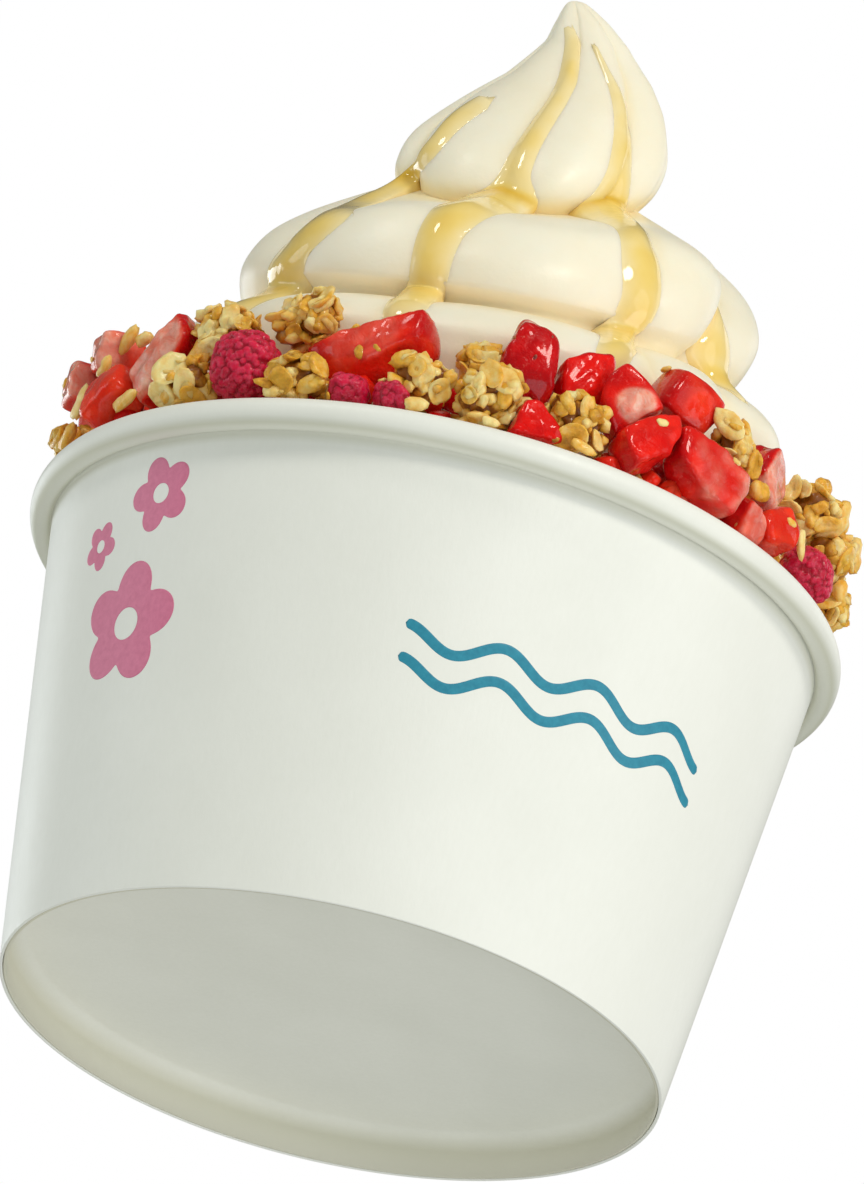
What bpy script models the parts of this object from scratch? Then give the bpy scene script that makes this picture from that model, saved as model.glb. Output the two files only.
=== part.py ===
"""Frozen yogurt cup: a paper cup with a rolled rim, filled with frozen yogurt that is piped into
a ribbed, leaning swirl, and ringed with strawberry pieces, raspberries and granola clusters.

Sizes are in millimetres and are turned into metres as each mesh is made. +Z is up, the front is
-Y, and the origin is the centre of the cup's foot. An azimuth is in degrees, 0 at the front and
growing towards +X.
"""

import math

import bmesh
import bpy
import numpy as np
from mathutils import Matrix

MM = 0.001
GAP = 0.3

# Paper cup
CUP_HEIGHT = 70.0
FOOT_RADIUS = 46.7
RIM_RADIUS = 57.5
ROLL_HALF_WIDTH = 1.95
ROLL_HALF_HEIGHT = 2.25
ROLL_TUCK = 0.1
WALL_RADIUS_UNDER_ROLL = 54.05
WALL_PLY = 0.45
SKIRT_PLY = 0.35
PLY_GAP = 0.12
FLOOR_UNDERSIDE = 6.5
FLOOR_PLY = 0.5
FLOOR_FILLET = 2.4
SKIRT_BOTTOM = 0.15
FOOT_ROUNDING = 0.12
CUP_STEPS = 48

ROLL_RADIUS = RIM_RADIUS - ROLL_HALF_WIDTH
ROLL_HEIGHT = CUP_HEIGHT - ROLL_HALF_HEIGHT
ROLL_BOTTOM = ROLL_HEIGHT - ROLL_HALF_HEIGHT
WALL_SLOPE = (WALL_RADIUS_UNDER_ROLL - FOOT_RADIUS) / ROLL_BOTTOM

# Frozen yogurt: the outline is radius, height from the fill inside the cup up to the tip.
FILL_CLEARANCE = 0.45
FILL_TOP = 69.6
FILL_OUTLINE = ((52.8, 68.9), (50.4, 70.6), (46.8, 74.2), (43.6, 78.4))
LOWER_COIL = ((41.6, 83.0), (41.4, 88.0), (43.0, 93.6), (42.6, 98.2), (39.4, 101.8))
LOWER_CREASE = (33.8, 104.2)
MIDDLE_COIL = ((35.4, 108.0), (35.7, 113.0), (33.2, 118.8), (28.4, 123.4), (22.0, 127.4))
UPPER_CREASE = (17.2, 129.8)
TOP_COIL = ((18.6, 133.2), (18.2, 138.2), (14.8, 144.1), (10.2, 149.3), (6.4, 153.9))
TIP = ((4.1, 157.4), (2.4, 159.6), (1.2, 160.7), (0.0, 161.0))
TIP_START = 146.0
RIBS = 8
STEPS_PER_RIB = 8
# Azimuths of the grooves below the lower crease, at the upper crease and from TIP_START up.
LOWER_GROOVES = (-60.0, -21.0, 34.0, 58.0, 103.0, 146.0, 192.0, 243.0)
TOP_GROOVES = (-66.0, -10.0, 42.0, 86.0, 131.0, 176.0, 219.0, 262.0)
TIP_GROOVES = (-90.0, -13.0, 45.0, 90.0, 134.0, 178.0, 217.0, 250.0)
RIB_DEPTH = 3.0
RIB_ROUNDNESS = 0.7
RIB_START = 78.0
RIB_FULL = 92.0
RIB_FULL_RADIUS = 16.0
# One groove is deeper, and the rib after it swells out between the two creases.
GROOVE_SHARES = (1.0, 1.0, 1.0, 1.5, 1.0, 1.0, 1.0, 1.0)
RIB_SWELLS = (0.0, 0.0, 0.0, 1.2, 0.0, 0.0, 0.0, 0.0)
# The middle coil's shoulder rises at the front: height gained, azimuth, full and end angles.
SHOULDER_RISE = 6.0
SHOULDER_AZIMUTH = 6.0
SHOULDER_ANGLES = (32.0, 78.0)
SHOULDER_START = 109.0
FRONT_LEAN = (0.19, 0.60)
BACK_LEAN_SHARE = 0.35
LEAN_TURNOVER = 12.0
SIDE_LEAN = (0.06, 0.14)
# Sideways shift of the swirl's centre line at these heights; the tip hooks back.
CENTRE_HEIGHTS = (100.0, 130.0, 139.0, 149.0, 154.5, 158.0, 161.0)
CENTRE_SHIFTS = (-0.6, -1.4, 0.4, 3.2, 3.0, 1.6, 0.0)
SHIFT_EASE = 20.0

# Toppings: azimuth, radius, height, length along the rim, depth, thickness, lean.
TOPPING_FLOOR = CUP_HEIGHT + GAP
TOPPING_REACH = RIM_RADIUS - 0.2
TOPPING_SWELL = 1.1
PRESS_ROUNDS = 6
PRESS_ANGLE = 7.0
PRESS_HEIGHT = 1.2
STRAWBERRIES = (
    (-81, 53.2, 82.4, 7.5, 8.0, 6.5, 0),
    (-73, 53.2, 84.6, 9.0, 8.0, 7.0, -10),
    (-66, 53.2, 76.4, 9.0, 9.0, 8.0, 30),
    (-57, 51.2, 80.8, 15.5, 8.5, 7.0, 46),
    (-21, 47.8, 80.0, 25.5, 10.0, 10.5, 18),
    (6, 46.6, 84.0, 9.2, 8.5, 13.4, -8),
    (9, 51.4, 73.8, 9.0, 9.0, 7.0, 0),
    (17, 46.4, 84.2, 11.0, 8.5, 10.6, 15),
    (22.5, 49.8, 82.0, 10.5, 8.0, 10.2, -38),
    (27.5, 51.6, 77.6, 12.5, 8.5, 8.0, 36),
    (36, 46.6, 87.8, 10.5, 8.5, 8.0, -12),
    (36, 51.8, 77.2, 16.0, 9.0, 10.0, -14),
    (55.5, 48.2, 83.8, 8.0, 8.0, 9.0, -35),
    (47, 52.4, 73.8, 5.5, 8.0, 6.4, 0),
    (53, 52.8, 75.0, 7.0, 8.0, 7.4, 20),
)
RASPBERRIES = (
    (-39, 51.2, 77.2, 10.2, 10.0, 10.8, 0),
    (-20, 51.6, 73.2, 6.8, 8.5, 6.6, 0),
    (-13, 51.6, 73.2, 7.2, 8.5, 6.6, 0),
    (67, 53.2, 74.8, 8.6, 8.0, 8.0, 0),
)
GRANOLA = (
    (-10, 51.6, 76.6, 10.2, 8.5, 9.4, 8),
    (1.5, 51.4, 76.2, 10.5, 9.0, 9.6, -5),
    (-1.5, 45.6, 83.2, 6.6, 6.0, 7.0, 0),
    (15, 51.6, 76.2, 10.2, 8.5, 9.8, 0),
    (-28, 52.0, 74.6, 10.2, 8.5, 7.8, 6),
    (-34, 46.4, 86.2, 11.6, 8.5, 9.2, 35),
    (-47, 48.6, 84.0, 9.5, 9.0, 10.6, 40),
    (-48.5, 53.0, 75.0, 9.0, 8.0, 7.4, 12),
    (-82, 54.2, 73.8, 7.0, 6.5, 6.6, 0),
    (45, 49.8, 83.2, 12.6, 7.0, 6.2, -48),
    (70.5, 51.0, 85.6, 10.0, 9.5, 9.8, 15),
    (74.5, 53.4, 81.0, 11.5, 8.0, 8.5, -15),
    (79, 54.4, 75.2, 6.5, 6.0, 6.8, 0),
)
# Behind the swirl two rings of the same toppings carry on round the cup.
BACK_FROM, BACK_TO = 88.0, 272.0
BACK_PER_RING = 11
LOWER_RING = (50.8, 76.0, 15.6, 11.5, 11.8)
UPPER_RING = (48.0, 85.2, 14.4, 11.5, 11.8)
LOWER_KINDS = "sgsrsgssgrs"
UPPER_KINDS = "gssgsrgsgss"
RING_SIZE_SPREAD = 0.1
RING_HEIGHT_SPREAD = 1.6
RING_RADIUS_SPREAD = 1.2
RING_LEAN_SPREAD = 26.0
# Superellipse exponents: near 2 is round, higher is boxier.
EXPONENT = {"strawberry": 4.2, "raspberry": 2.3, "granola": 2.6}
KIND_OF_LETTER = {"s": "strawberry", "r": "raspberry", "g": "granola"}
ROLL_SPREAD = 14.0
TAPER = 0.22
LUMP_DEPTH = {"strawberry": 0.0, "raspberry": 0.05, "granola": 0.14}
LUMP_WAVES = (3.1, 3.7, 5.3)
# Phase steps, in radians, that make each topping differ from the next.
SHAPE_STEP, ROLL_STEP, RING_STEP = 1.9, 2.6, 2.1

COLOURS = {
    "cup_wall": ((0.86, 0.86, 0.82), 0.45),
    "cup_bottom": ((0.60, 0.60, 0.54), 0.6),
    "frozen_yogurt": ((0.93, 0.88, 0.74), 0.35),
    "strawberry": ((0.66, 0.03, 0.02), 0.2),
    "raspberry": ((0.45, 0.01, 0.07), 0.35),
    "granola": ((0.60, 0.36, 0.12), 0.65),
}


def clear_scene():
    """Remove every object that the scene starts with."""
    for obj in list(bpy.data.objects):
        bpy.data.objects.remove(obj)


def new_material(name):
    """A Principled material in the colour and roughness of one kind of piece."""
    colour, roughness = COLOURS[name]
    material = bpy.data.materials.new(name)
    material.use_nodes = True
    shader = material.node_tree.nodes["Principled BSDF"]
    shader.inputs["Base Color"].default_value = (*colour, 1.0)
    shader.inputs["Roughness"].default_value = roughness
    shader.inputs["Metallic"].default_value = 0.0
    material.diffuse_color = (*colour, 1.0)
    return material


def add_object(name, mesh, material, collection):
    """Put a mesh in the scene as a smooth-shaded named object of one material."""
    mesh.materials.append(material)
    mesh.shade_smooth()
    obj = bpy.data.objects.new(name, mesh)
    collection.objects.link(obj)
    return obj


def outline_mesh(name, points, closed):
    """A mesh of one polyline in the XZ plane, from (radius, height) points in millimetres."""
    bm = bmesh.new()
    verts = [bm.verts.new((r * MM, 0.0, z * MM)) for r, z in points]
    pairs = list(zip(verts, verts[1:]))
    if closed:
        pairs.append((verts[-1], verts[0]))
    for a, b in pairs:
        bm.edges.new((a, b))
    mesh = bpy.data.meshes.new(name)
    bm.to_mesh(mesh)
    bm.free()
    return mesh


def turned(name, points, closed, material, collection):
    """A turned piece: the outline carried once round the Z axis by a Screw modifier."""
    obj = add_object(name, outline_mesh(name, points, closed), material, collection)
    screw = obj.modifiers.new("turn", "SCREW")
    screw.steps = CUP_STEPS
    screw.render_steps = CUP_STEPS
    screw.use_merge_vertices = True
    screw.merge_threshold = 0.00001
    screw.use_smooth_shade = True
    return obj


def wall_radius(height, inset=0.0):
    """Radius of the cup's outer face at a height, moved in by the plies outside of it."""
    return FOOT_RADIUS + WALL_SLOPE * height - inset


def arc(centre, half_sizes, start, end, count):
    """Points along an elliptical arc, angles in degrees from the +radius direction."""
    angles = np.radians(np.linspace(start, end, count))
    radii = centre[0] + half_sizes[0] * np.cos(angles)
    heights = centre[1] + half_sizes[1] * np.sin(angles)
    return list(zip(radii.tolist(), heights.tolist()))


def wall_outline():
    """Rolled rim, cone-shaped wall, and the thin lower edge that the cup stands on."""
    edge = FOOT_ROUNDING
    roll = arc((ROLL_RADIUS, ROLL_HEIGHT), (ROLL_HALF_WIDTH, ROLL_HALF_HEIGHT), 90, -135, 9)
    foot_outside = arc((wall_radius(edge) - edge, edge), (edge, edge), 0, -90, 3)
    foot_inside = arc((wall_radius(edge, WALL_PLY) + edge, edge), (edge, edge), -90, -180, 3)
    inside = [(wall_radius(ROLL_BOTTOM, WALL_PLY), ROLL_BOTTOM)]
    roll_inside = arc((ROLL_RADIUS, ROLL_HEIGHT), (ROLL_HALF_WIDTH, ROLL_HALF_HEIGHT), 180, 120, 3)
    return roll + [(WALL_RADIUS_UNDER_ROLL, ROLL_BOTTOM - ROLL_TUCK)] + (
        foot_outside + foot_inside + inside + roll_inside
    )


def bottom_outline():
    """The raised disc with its skirt turned down inside the wall."""
    top = FLOOR_UNDERSIDE + FLOOR_PLY
    corner = 0.8 * FLOOR_PLY
    skirt_outer = WALL_PLY + PLY_GAP
    skirt_inner = skirt_outer + SKIRT_PLY
    fillet_centre = FLOOR_UNDERSIDE - FLOOR_FILLET
    inner_radius = wall_radius(fillet_centre, skirt_inner)
    fillet = arc(
        (inner_radius - FLOOR_FILLET, fillet_centre), (FLOOR_FILLET, FLOOR_FILLET), 0, 90, 4
    )
    return [
        (0.0, top),
        (wall_radius(top, skirt_outer) - corner, top),
        (wall_radius(top - corner, skirt_outer), top - corner),
        (wall_radius(SKIRT_BOTTOM, skirt_outer), SKIRT_BOTTOM),
        (wall_radius(SKIRT_BOTTOM, skirt_inner), SKIRT_BOTTOM),
        *fillet,
        (0.0, FLOOR_UNDERSIDE),
    ]


def smooth_step(value, start, end):
    """0 before start, 1 after end, with a smooth S between."""
    t = np.clip((value - start) / (end - start), 0.0, 1.0)
    return t * t * (3.0 - 2.0 * t)


def swirl_outline():
    """Radius and height of the yogurt from the cup's floor to the tip, coil by coil."""
    floor = FLOOR_UNDERSIDE + FLOOR_PLY + GAP
    clearance = WALL_PLY + FILL_CLEARANCE
    inside = ((0.0, floor), (wall_radius(floor, clearance), floor))
    inside += ((wall_radius(ROLL_BOTTOM, clearance), ROLL_BOTTOM),)
    coils = (*LOWER_COIL, LOWER_CREASE, *MIDDLE_COIL, UPPER_CREASE, *TOP_COIL, *TIP)
    return inside + FILL_OUTLINE + coils


def groove_warp(turn, height):
    """Azimuth of each point so that whole numbers of ribs fall on the named grooves.

    turn counts ribs round the swirl from the first groove; the grooves move smoothly from
    their lower places to their upper places between the two creases, and on to the tip's.
    """
    count = np.arange(RIBS + 1)
    lower, top, tip = (
        np.interp(turn, count, [*grooves, grooves[0] + 360.0])
        for grooves in (LOWER_GROOVES, TOP_GROOVES, TIP_GROOVES)
    )
    azimuth = lower + (top - lower) * smooth_step(height, LOWER_CREASE[1], UPPER_CREASE[1])
    return azimuth + (tip - top) * smooth_step(height, UPPER_CREASE[1], TIP_START)


def ribbed_radius(turn, radius, height):
    """The radius loses up to RIB_DEPTH at a groove and nothing on a rib's crest; a swollen rib
    gains radius halfway between the creases."""
    count = np.arange(RIBS + 1)
    share = np.interp(turn, count, [*GROOVE_SHARES, GROOVE_SHARES[0]])
    full = smooth_step(height, RIB_START, RIB_FULL) * np.minimum(radius / RIB_FULL_RADIUS, 1.0)
    wave = np.abs(np.sin(math.pi * turn))
    swell = np.array(RIB_SWELLS)[np.floor(turn).astype(int) % RIBS] * wave ** 2
    between = np.clip((height - LOWER_CREASE[1]) / (UPPER_CREASE[1] - LOWER_CREASE[1]), 0.0, 1.0)
    return radius - RIB_DEPTH * share * full * (1.0 - wave ** RIB_ROUNDNESS) + (
        swell * np.sin(math.pi * between)
    )


def shoulder_height(azimuth, height):
    """Heights raised where the middle coil rolls up into a shoulder at the front."""
    share = np.clip((height - SHOULDER_START) / (UPPER_CREASE[1] - SHOULDER_START), 0.0, 1.0)
    full, end = SHOULDER_ANGLES
    away = np.abs((azimuth - SHOULDER_AZIMUTH + 180.0) % 360.0 - 180.0)
    return height + SHOULDER_RISE * np.sin(math.pi * share) * (1.0 - smooth_step(away, full, end))


def swirl_points(turn, radius, height):
    """Place outline points round the swirl.

    Each point is ribbed and raised, and its height is then sheared so that the coils lean down
    at the front, more at the top crease and less behind the axis. The centre line is shifted
    sideways towards the hooked tip.
    """
    degrees = groove_warp(turn, height)
    azimuth = np.radians(degrees)
    ribbed = ribbed_radius(turn, radius, height)
    shift = np.interp(height, CENTRE_HEIGHTS, CENTRE_SHIFTS)
    x = ribbed * np.sin(azimuth) + shift * (
        smooth_step(height, LOWER_CREASE[1] - SHIFT_EASE, LOWER_CREASE[1])
    )
    y = -ribbed * np.cos(azimuth)
    creases = (LOWER_CREASE[1], UPPER_CREASE[1])
    free = smooth_step(height, FILL_TOP, LOWER_CREASE[1])
    front = np.interp(height, creases, FRONT_LEAN) * free
    side = np.interp(height, creases, SIDE_LEAN) * free
    middle = (1.0 + BACK_LEAN_SHARE) / 2.0
    share = middle - (1.0 - middle) * np.tanh(y / LEAN_TURNOVER)
    raised = shoulder_height(degrees, height)
    return np.stack([x, y, raised + front * share * y + side * x], axis=-1)


def yogurt_mesh():
    """The outline spun round the axis, then every ring pushed into ribs and leaned."""
    steps = RIBS * STEPS_PER_RIB
    bm = bmesh.new()
    verts = [bm.verts.new((r, 0.0, z)) for r, z in swirl_outline()]
    edges = [bm.edges.new(pair) for pair in zip(verts, verts[1:])]
    bmesh.ops.spin(
        bm, geom=verts + edges, axis=(0, 0, 1), cent=(0, 0, 0), angle=2 * math.pi,
        steps=steps, use_merge=True,
    )
    bmesh.ops.remove_doubles(bm, verts=bm.verts, dist=1e-4)
    bmesh.ops.recalc_face_normals(bm, faces=bm.faces)
    mesh = bpy.data.meshes.new("frozen_yogurt")
    bm.to_mesh(mesh)
    bm.free()
    points = mesh_points(mesh)
    turn = np.round((np.arctan2(points[:, 1], points[:, 0]) / (2 * math.pi) % 1.0) * steps)
    radius = np.hypot(points[:, 0], points[:, 1])
    placed = swirl_points((turn % steps) / STEPS_PER_RIB, radius, points[:, 2])
    set_mesh_points(mesh, placed * MM)
    return mesh


def mesh_points(mesh):
    """All vertex positions as one array."""
    flat = np.empty(len(mesh.vertices) * 3)
    mesh.vertices.foreach_get("co", flat)
    return flat.reshape(-1, 3)


def set_mesh_points(mesh, points):
    """Write all vertex positions back."""
    mesh.vertices.foreach_set("co", np.ascontiguousarray(points).ravel())
    mesh.update()


def topping_rows():
    """Every topping as (kind, azimuth, radius, height, length, depth, thickness, lean)."""
    rows = [("strawberry", *row) for row in STRAWBERRIES]
    rows += [("raspberry", *row) for row in RASPBERRIES]
    rows += [("granola", *row) for row in GRANOLA]
    step = (BACK_TO - BACK_FROM) / BACK_PER_RING
    for ring, kinds, shift in ((LOWER_RING, LOWER_KINDS, 0.0), (UPPER_RING, UPPER_KINDS, 0.5)):
        for i, letter in enumerate(kinds):
            radius, height, length, depth, thickness = ring
            phase = RING_STEP * (i + shift)
            vary = 1.0 + RING_SIZE_SPREAD * math.sin(2.0 * phase)
            rows.append((
                KIND_OF_LETTER[letter],
                BACK_FROM + (i + shift) * step,
                radius + RING_RADIUS_SPREAD * math.sin(phase),
                height + RING_HEIGHT_SPREAD * math.cos(phase),
                length * vary,
                depth,
                thickness * vary,
                RING_LEAN_SPREAD * math.sin(3.0 * phase),
            ))
    return rows


def turned_frame(azimuth, lean, roll):
    """Axes of a topping: along the rim, inwards and up, leaned in its own outward face."""
    face = Matrix.Rotation(math.radians(azimuth), 3, "Z")
    tilt = Matrix.Rotation(-math.radians(lean), 3, "Y")
    turn = Matrix.Rotation(math.radians(roll), 3, "X")
    return np.array(face @ tilt @ turn)


class Topping:
    """One strawberry piece, raspberry or granola cluster before it is meshed."""

    def __init__(self, index, kind, azimuth, radius, height, length, depth, thickness, lean):
        self.index = index
        self.kind = kind
        angle = math.radians(azimuth)
        self.outward = np.array([math.sin(angle), -math.cos(angle), 0.0])
        self.centre = self.outward * radius + np.array([0.0, 0.0, height])
        self.half = TOPPING_SWELL * np.array([length, depth, thickness]) / 2.0
        self.axes = turned_frame(azimuth, lean, ROLL_SPREAD * math.sin(ROLL_STEP * index))
        self.planes = []

    def reach(self, direction):
        """How far the superellipsoid reaches from its centre along a unit direction."""
        exponent = EXPONENT[self.kind]
        dual = exponent / (exponent - 1.0)
        return float(np.sum(np.abs(self.half * (direction @ self.axes)) ** dual) ** (1.0 / dual))


def share_space(toppings):
    """Give each close pair a flat contact, half the gap to each side of a plane between them."""
    for i, one in enumerate(toppings):
        for other in toppings[i + 1:]:
            between = other.centre - one.centre
            distance = float(np.linalg.norm(between))
            direction = between / distance
            reach_one, reach_other = one.reach(direction), other.reach(-direction)
            if reach_one + reach_other + GAP <= distance:
                continue
            share = distance * reach_one / (reach_one + reach_other)
            one.planes.append((direction, share - GAP / 2))
            other.planes.append((-direction, distance - share - GAP / 2))


def topping_shape(kind):
    """Unit directions of the mesh a topping starts from: a cut cube or a ball of triangles."""
    bm = bmesh.new()
    if kind == "strawberry":
        bmesh.ops.create_cube(bm, size=2.0)
        bmesh.ops.subdivide_edges(bm, edges=bm.edges, cuts=1, use_grid_fill=True)
    else:
        bmesh.ops.create_icosphere(bm, subdivisions=2, radius=1.0)
    mesh = bpy.data.meshes.new(kind)
    bm.to_mesh(mesh)
    bm.free()
    return mesh


def topping_mesh(topping, yogurt):
    """A tapered, lumpy superellipsoid, pressed flat against its neighbours and the swirl."""
    mesh = topping_shape(topping.kind)
    unit = mesh_points(mesh)
    unit /= np.linalg.norm(unit, axis=1, keepdims=True)
    exponent = EXPONENT[topping.kind]
    unit /= (np.sum(np.abs(unit) ** exponent, axis=1) ** (1.0 / exponent))[:, None]
    phase = SHAPE_STEP * topping.index
    waves = np.sin(unit * LUMP_WAVES + phase * np.array([1.0, -1.0, 2.0]))
    lumps = (waves[:, 0] * waves[:, 1] + waves[:, 2]) / 2.0
    unit *= 1.0 - LUMP_DEPTH[topping.kind] * (1.0 + lumps[:, None]) / 2.0
    taper = TAPER * math.sin(phase)
    unit[:, 1:] *= (1.0 - abs(taper) + taper * unit[:, :1])
    points = topping.centre + (unit * topping.half) @ topping.axes.T
    points = pressed(topping, points, yogurt)
    set_mesh_points(mesh, points * MM)
    return mesh


def swirl_reach(points, yogurt):
    """How far from the axis the yogurt comes beside each point: the farthest of its corners
    within PRESS_ANGLE and PRESS_HEIGHT of the point, or of the facets between them."""
    azimuth = np.degrees(np.arctan2(yogurt[:, 0], -yogurt[:, 1]))
    radius = np.hypot(yogurt[:, 0], yogurt[:, 1])
    reach = np.zeros(len(points))
    for i, (x, y, z) in enumerate(points):
        away = np.abs((azimuth - math.degrees(math.atan2(x, -y)) + 180.0) % 360.0 - 180.0)
        beside = away < PRESS_ANGLE
        order = np.argsort(yogurt[beside, 2], kind="stable")
        heights, radii = yogurt[beside, 2][order], radius[beside][order]
        levels = np.linspace(z - PRESS_HEIGHT, z + PRESS_HEIGHT, 5)
        reach[i] = np.interp(levels, heights, radii).max()
    return reach


def pressed(topping, points, yogurt):
    """Move points that lie past a contact back onto it, so that no two pieces overlap."""
    for _ in range(PRESS_ROUNDS):
        distance = np.hypot(points[:, 0], points[:, 1])
        inner = swirl_reach(points, yogurt) + GAP
        points[:, :2] *= (np.maximum(distance, inner) / distance)[:, None]
        for direction, reach in topping.planes:
            past = np.maximum((points - topping.centre) @ direction - reach, 0.0)
            points = points - past[:, None] * direction
        points[:, 2] = np.maximum(points[:, 2], TOPPING_FLOOR)
        distance = np.hypot(points[:, 0], points[:, 1])
        points[:, :2] *= np.minimum(1.0, TOPPING_REACH / distance)[:, None]
    return points


def build():
    """Make the cup, the yogurt and every topping as named objects in one collection."""
    clear_scene()
    collection = bpy.data.collections.new("frozen_yogurt_cup")
    bpy.context.scene.collection.children.link(collection)
    materials = {name: new_material(name) for name in COLOURS}
    turned("cup_wall", wall_outline(), True, materials["cup_wall"], collection)
    turned("cup_bottom", bottom_outline(), False, materials["cup_bottom"], collection)
    yogurt = yogurt_mesh()
    add_object("frozen_yogurt", yogurt, materials["frozen_yogurt"], collection)
    swirl = mesh_points(yogurt) / MM
    toppings = [Topping(i, *row) for i, row in enumerate(topping_rows())]
    share_space(toppings)
    counts = dict.fromkeys(EXPONENT, 0)
    for topping in toppings:
        counts[topping.kind] += 1
        name = f"{topping.kind}_{counts[topping.kind]:02d}"
        mesh = topping_mesh(topping, swirl)
        add_object(name, mesh, materials[topping.kind], collection)


build()
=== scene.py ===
"""Frozen yogurt cup: paper cup, ribbed swirl, honey, strawberry pieces, raspberries and granola.

Sizes are in millimetres until each mesh is made, and are turned into metres there. +Z is up, the
front is -Y, and an azimuth is in degrees, 0 at the front and growing towards +X. The swirl's
numbers are the ones that its solid is made from; every topping takes its place, turn and size
from the flat faces of its own solid.
"""

import math

import bpy
import numpy as np
from mathutils import Matrix, Vector


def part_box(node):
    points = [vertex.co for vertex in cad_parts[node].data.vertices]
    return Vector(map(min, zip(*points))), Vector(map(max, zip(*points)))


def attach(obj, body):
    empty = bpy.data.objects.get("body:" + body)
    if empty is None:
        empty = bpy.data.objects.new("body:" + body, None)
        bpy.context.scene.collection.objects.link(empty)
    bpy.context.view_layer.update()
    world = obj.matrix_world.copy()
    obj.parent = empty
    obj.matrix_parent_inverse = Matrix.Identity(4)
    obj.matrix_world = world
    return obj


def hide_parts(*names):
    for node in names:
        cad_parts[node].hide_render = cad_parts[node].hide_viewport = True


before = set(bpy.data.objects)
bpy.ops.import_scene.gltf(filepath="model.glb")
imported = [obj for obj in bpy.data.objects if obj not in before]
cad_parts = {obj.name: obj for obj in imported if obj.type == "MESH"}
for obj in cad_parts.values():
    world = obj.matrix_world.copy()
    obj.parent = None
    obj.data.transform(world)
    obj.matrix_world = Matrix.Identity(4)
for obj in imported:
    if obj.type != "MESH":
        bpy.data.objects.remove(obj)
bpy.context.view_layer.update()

MM = 0.001
BODY = "root"

# Paper cup
CUP_HEIGHT = 70
FOOT_RADIUS = 46.7
RIM_RADIUS = 57.5
ROLL_HALF_WIDTH = 1.95
ROLL_HALF_HEIGHT = 2.25
WALL_RADIUS_UNDER_ROLL = 54.05
WALL_PLY = 0.45
SKIRT_PLY = 0.35
PLY_GAP = 0.12
FLOOR_UNDERSIDE = 6.5
FLOOR_PLY = 0.5
FLOOR_FILLET = 2.4
SKIRT_BOTTOM = 0.15
FOOT_ROUNDING = 0.12
ROLL_RADIUS = RIM_RADIUS - ROLL_HALF_WIDTH
ROLL_HEIGHT = CUP_HEIGHT - ROLL_HALF_HEIGHT
ROLL_BOTTOM = ROLL_HEIGHT - ROLL_HALF_HEIGHT
WALL_SLOPE = (WALL_RADIUS_UNDER_ROLL - FOOT_RADIUS) / ROLL_BOTTOM
# Painted shade on the paper at each height, 0 to 1: under the roll, and on the skirt inside the
# foot.
ROLL_PAINTED_SHADE = (
    (64.7, 0), (65.2, 0.3), (65.9, 1), (66.2, 0.7), (66.7, 0.25), (67.6, 0.06), (68.6, 0)
)
SKIRT_PAINTED_SHADE = ((4.3, 1), (5.4, 0.6), (6.4, 0))
# Papers: name, light tone, dark tone, tone of the painted shade, roughness.
WALL_PAPER = (
    "cup_paper_white", (0.90, 0.905, 0.87), (0.85, 0.855, 0.815), (0.65, 0.65, 0.54), 0.42
)
BOTTOM_PAPER = (
    "cup_bottom_board", (0.85, 0.85, 0.79), (0.79, 0.79, 0.725), (0.71, 0.69, 0.575), 0.55
)
AROUND = 360
SEAM_AZIMUTH, SEAM_WIDTH, SEAM_STEP = 168, 7, 0.22
SEAM_START = (0.6, 1.6)

# Frozen yogurt
FILL_CLEARANCE = 0.45
FILL_FLOOR_GAP = 0.3
FILL_TOP = 69.6
FILL_OUTLINE = ((52.8, 68.9), (50.4, 70.6), (46.8, 74.2), (43.6, 78.4))
LOWER_COIL = ((41.6, 83), (41.4, 88), (43, 93.6), (42.6, 98.2), (39.4, 101.8))
LOWER_CREASE = (33.8, 104.2)
MIDDLE_COIL = ((35.4, 108), (35.7, 113), (33.2, 118.8), (28.4, 123.4), (22, 127.4))
UPPER_CREASE = (17.2, 129.8)
TOP_COIL = ((18.6, 133.2), (18.2, 138.2), (14.8, 144.1), (10.2, 149.3), (6.4, 153.9))
TIP = ((4.1, 157.4), (2.4, 159.6), (1.2, 160.7), (0, 161))
TIP_START = 146
LOWER_LEVEL, UPPER_LEVEL = LOWER_CREASE[1], UPPER_CREASE[1]
RIBS = 8
LOWER_GROOVES = (-60, -21, 34, 58, 103, 146, 192, 243)
TOP_GROOVES = (-66, -10, 42, 86, 131, 176, 219, 262)
TIP_GROOVES = (-90, -13, 45, 90, 134, 178, 217, 250)
RIB_DEPTH = 3
RIB_ROUNDNESS = 0.7
RIB_START = 78
RIB_FULL = 92
RIB_FULL_RADIUS = 16
GROOVE_FLOOR = 0.0025
# One groove is deeper, and the rib after it swells out between the two creases.
GROOVE_SHARES = (1, 1, 1, 1.5, 1, 1, 1, 1)
RIB_SWELLS = (0, 0, 0, 1.2, 0, 0, 0, 0)
# The middle coil's shoulder rises at the front: height gained, azimuth, full and end angles.
SHOULDER_RISE = 6
SHOULDER_AZIMUTH = 6
SHOULDER_ANGLES = (32, 78)
SHOULDER_START = 109
FRONT_LEAN = (0.19, 0.60)
BACK_LEAN_SHARE = 0.35
LEAN_TURNOVER = 12
SIDE_LEAN = (0.06, 0.14)
CENTRE_HEIGHTS = (100, 130, 139, 149, 154.5, 158, 161)
CENTRE_SHIFTS = (-0.6, -1.4, 0.4, 3.2, 3, 1.6, 0)
SHIFT_EASE = 20
SWIRL_AROUND = 384
SWIRL_PER_SPAN = 9
# Soft hollows under the lips of the coils: height, azimuth of the middle, half angle, depth.
SOFT_LIPS = ((106, -10, 95, 1.9), (115.5, 12, 60, 0.25), (94, 20, 120, 0.5))
SOFT_LIP_WIDTH = 2.6
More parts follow.
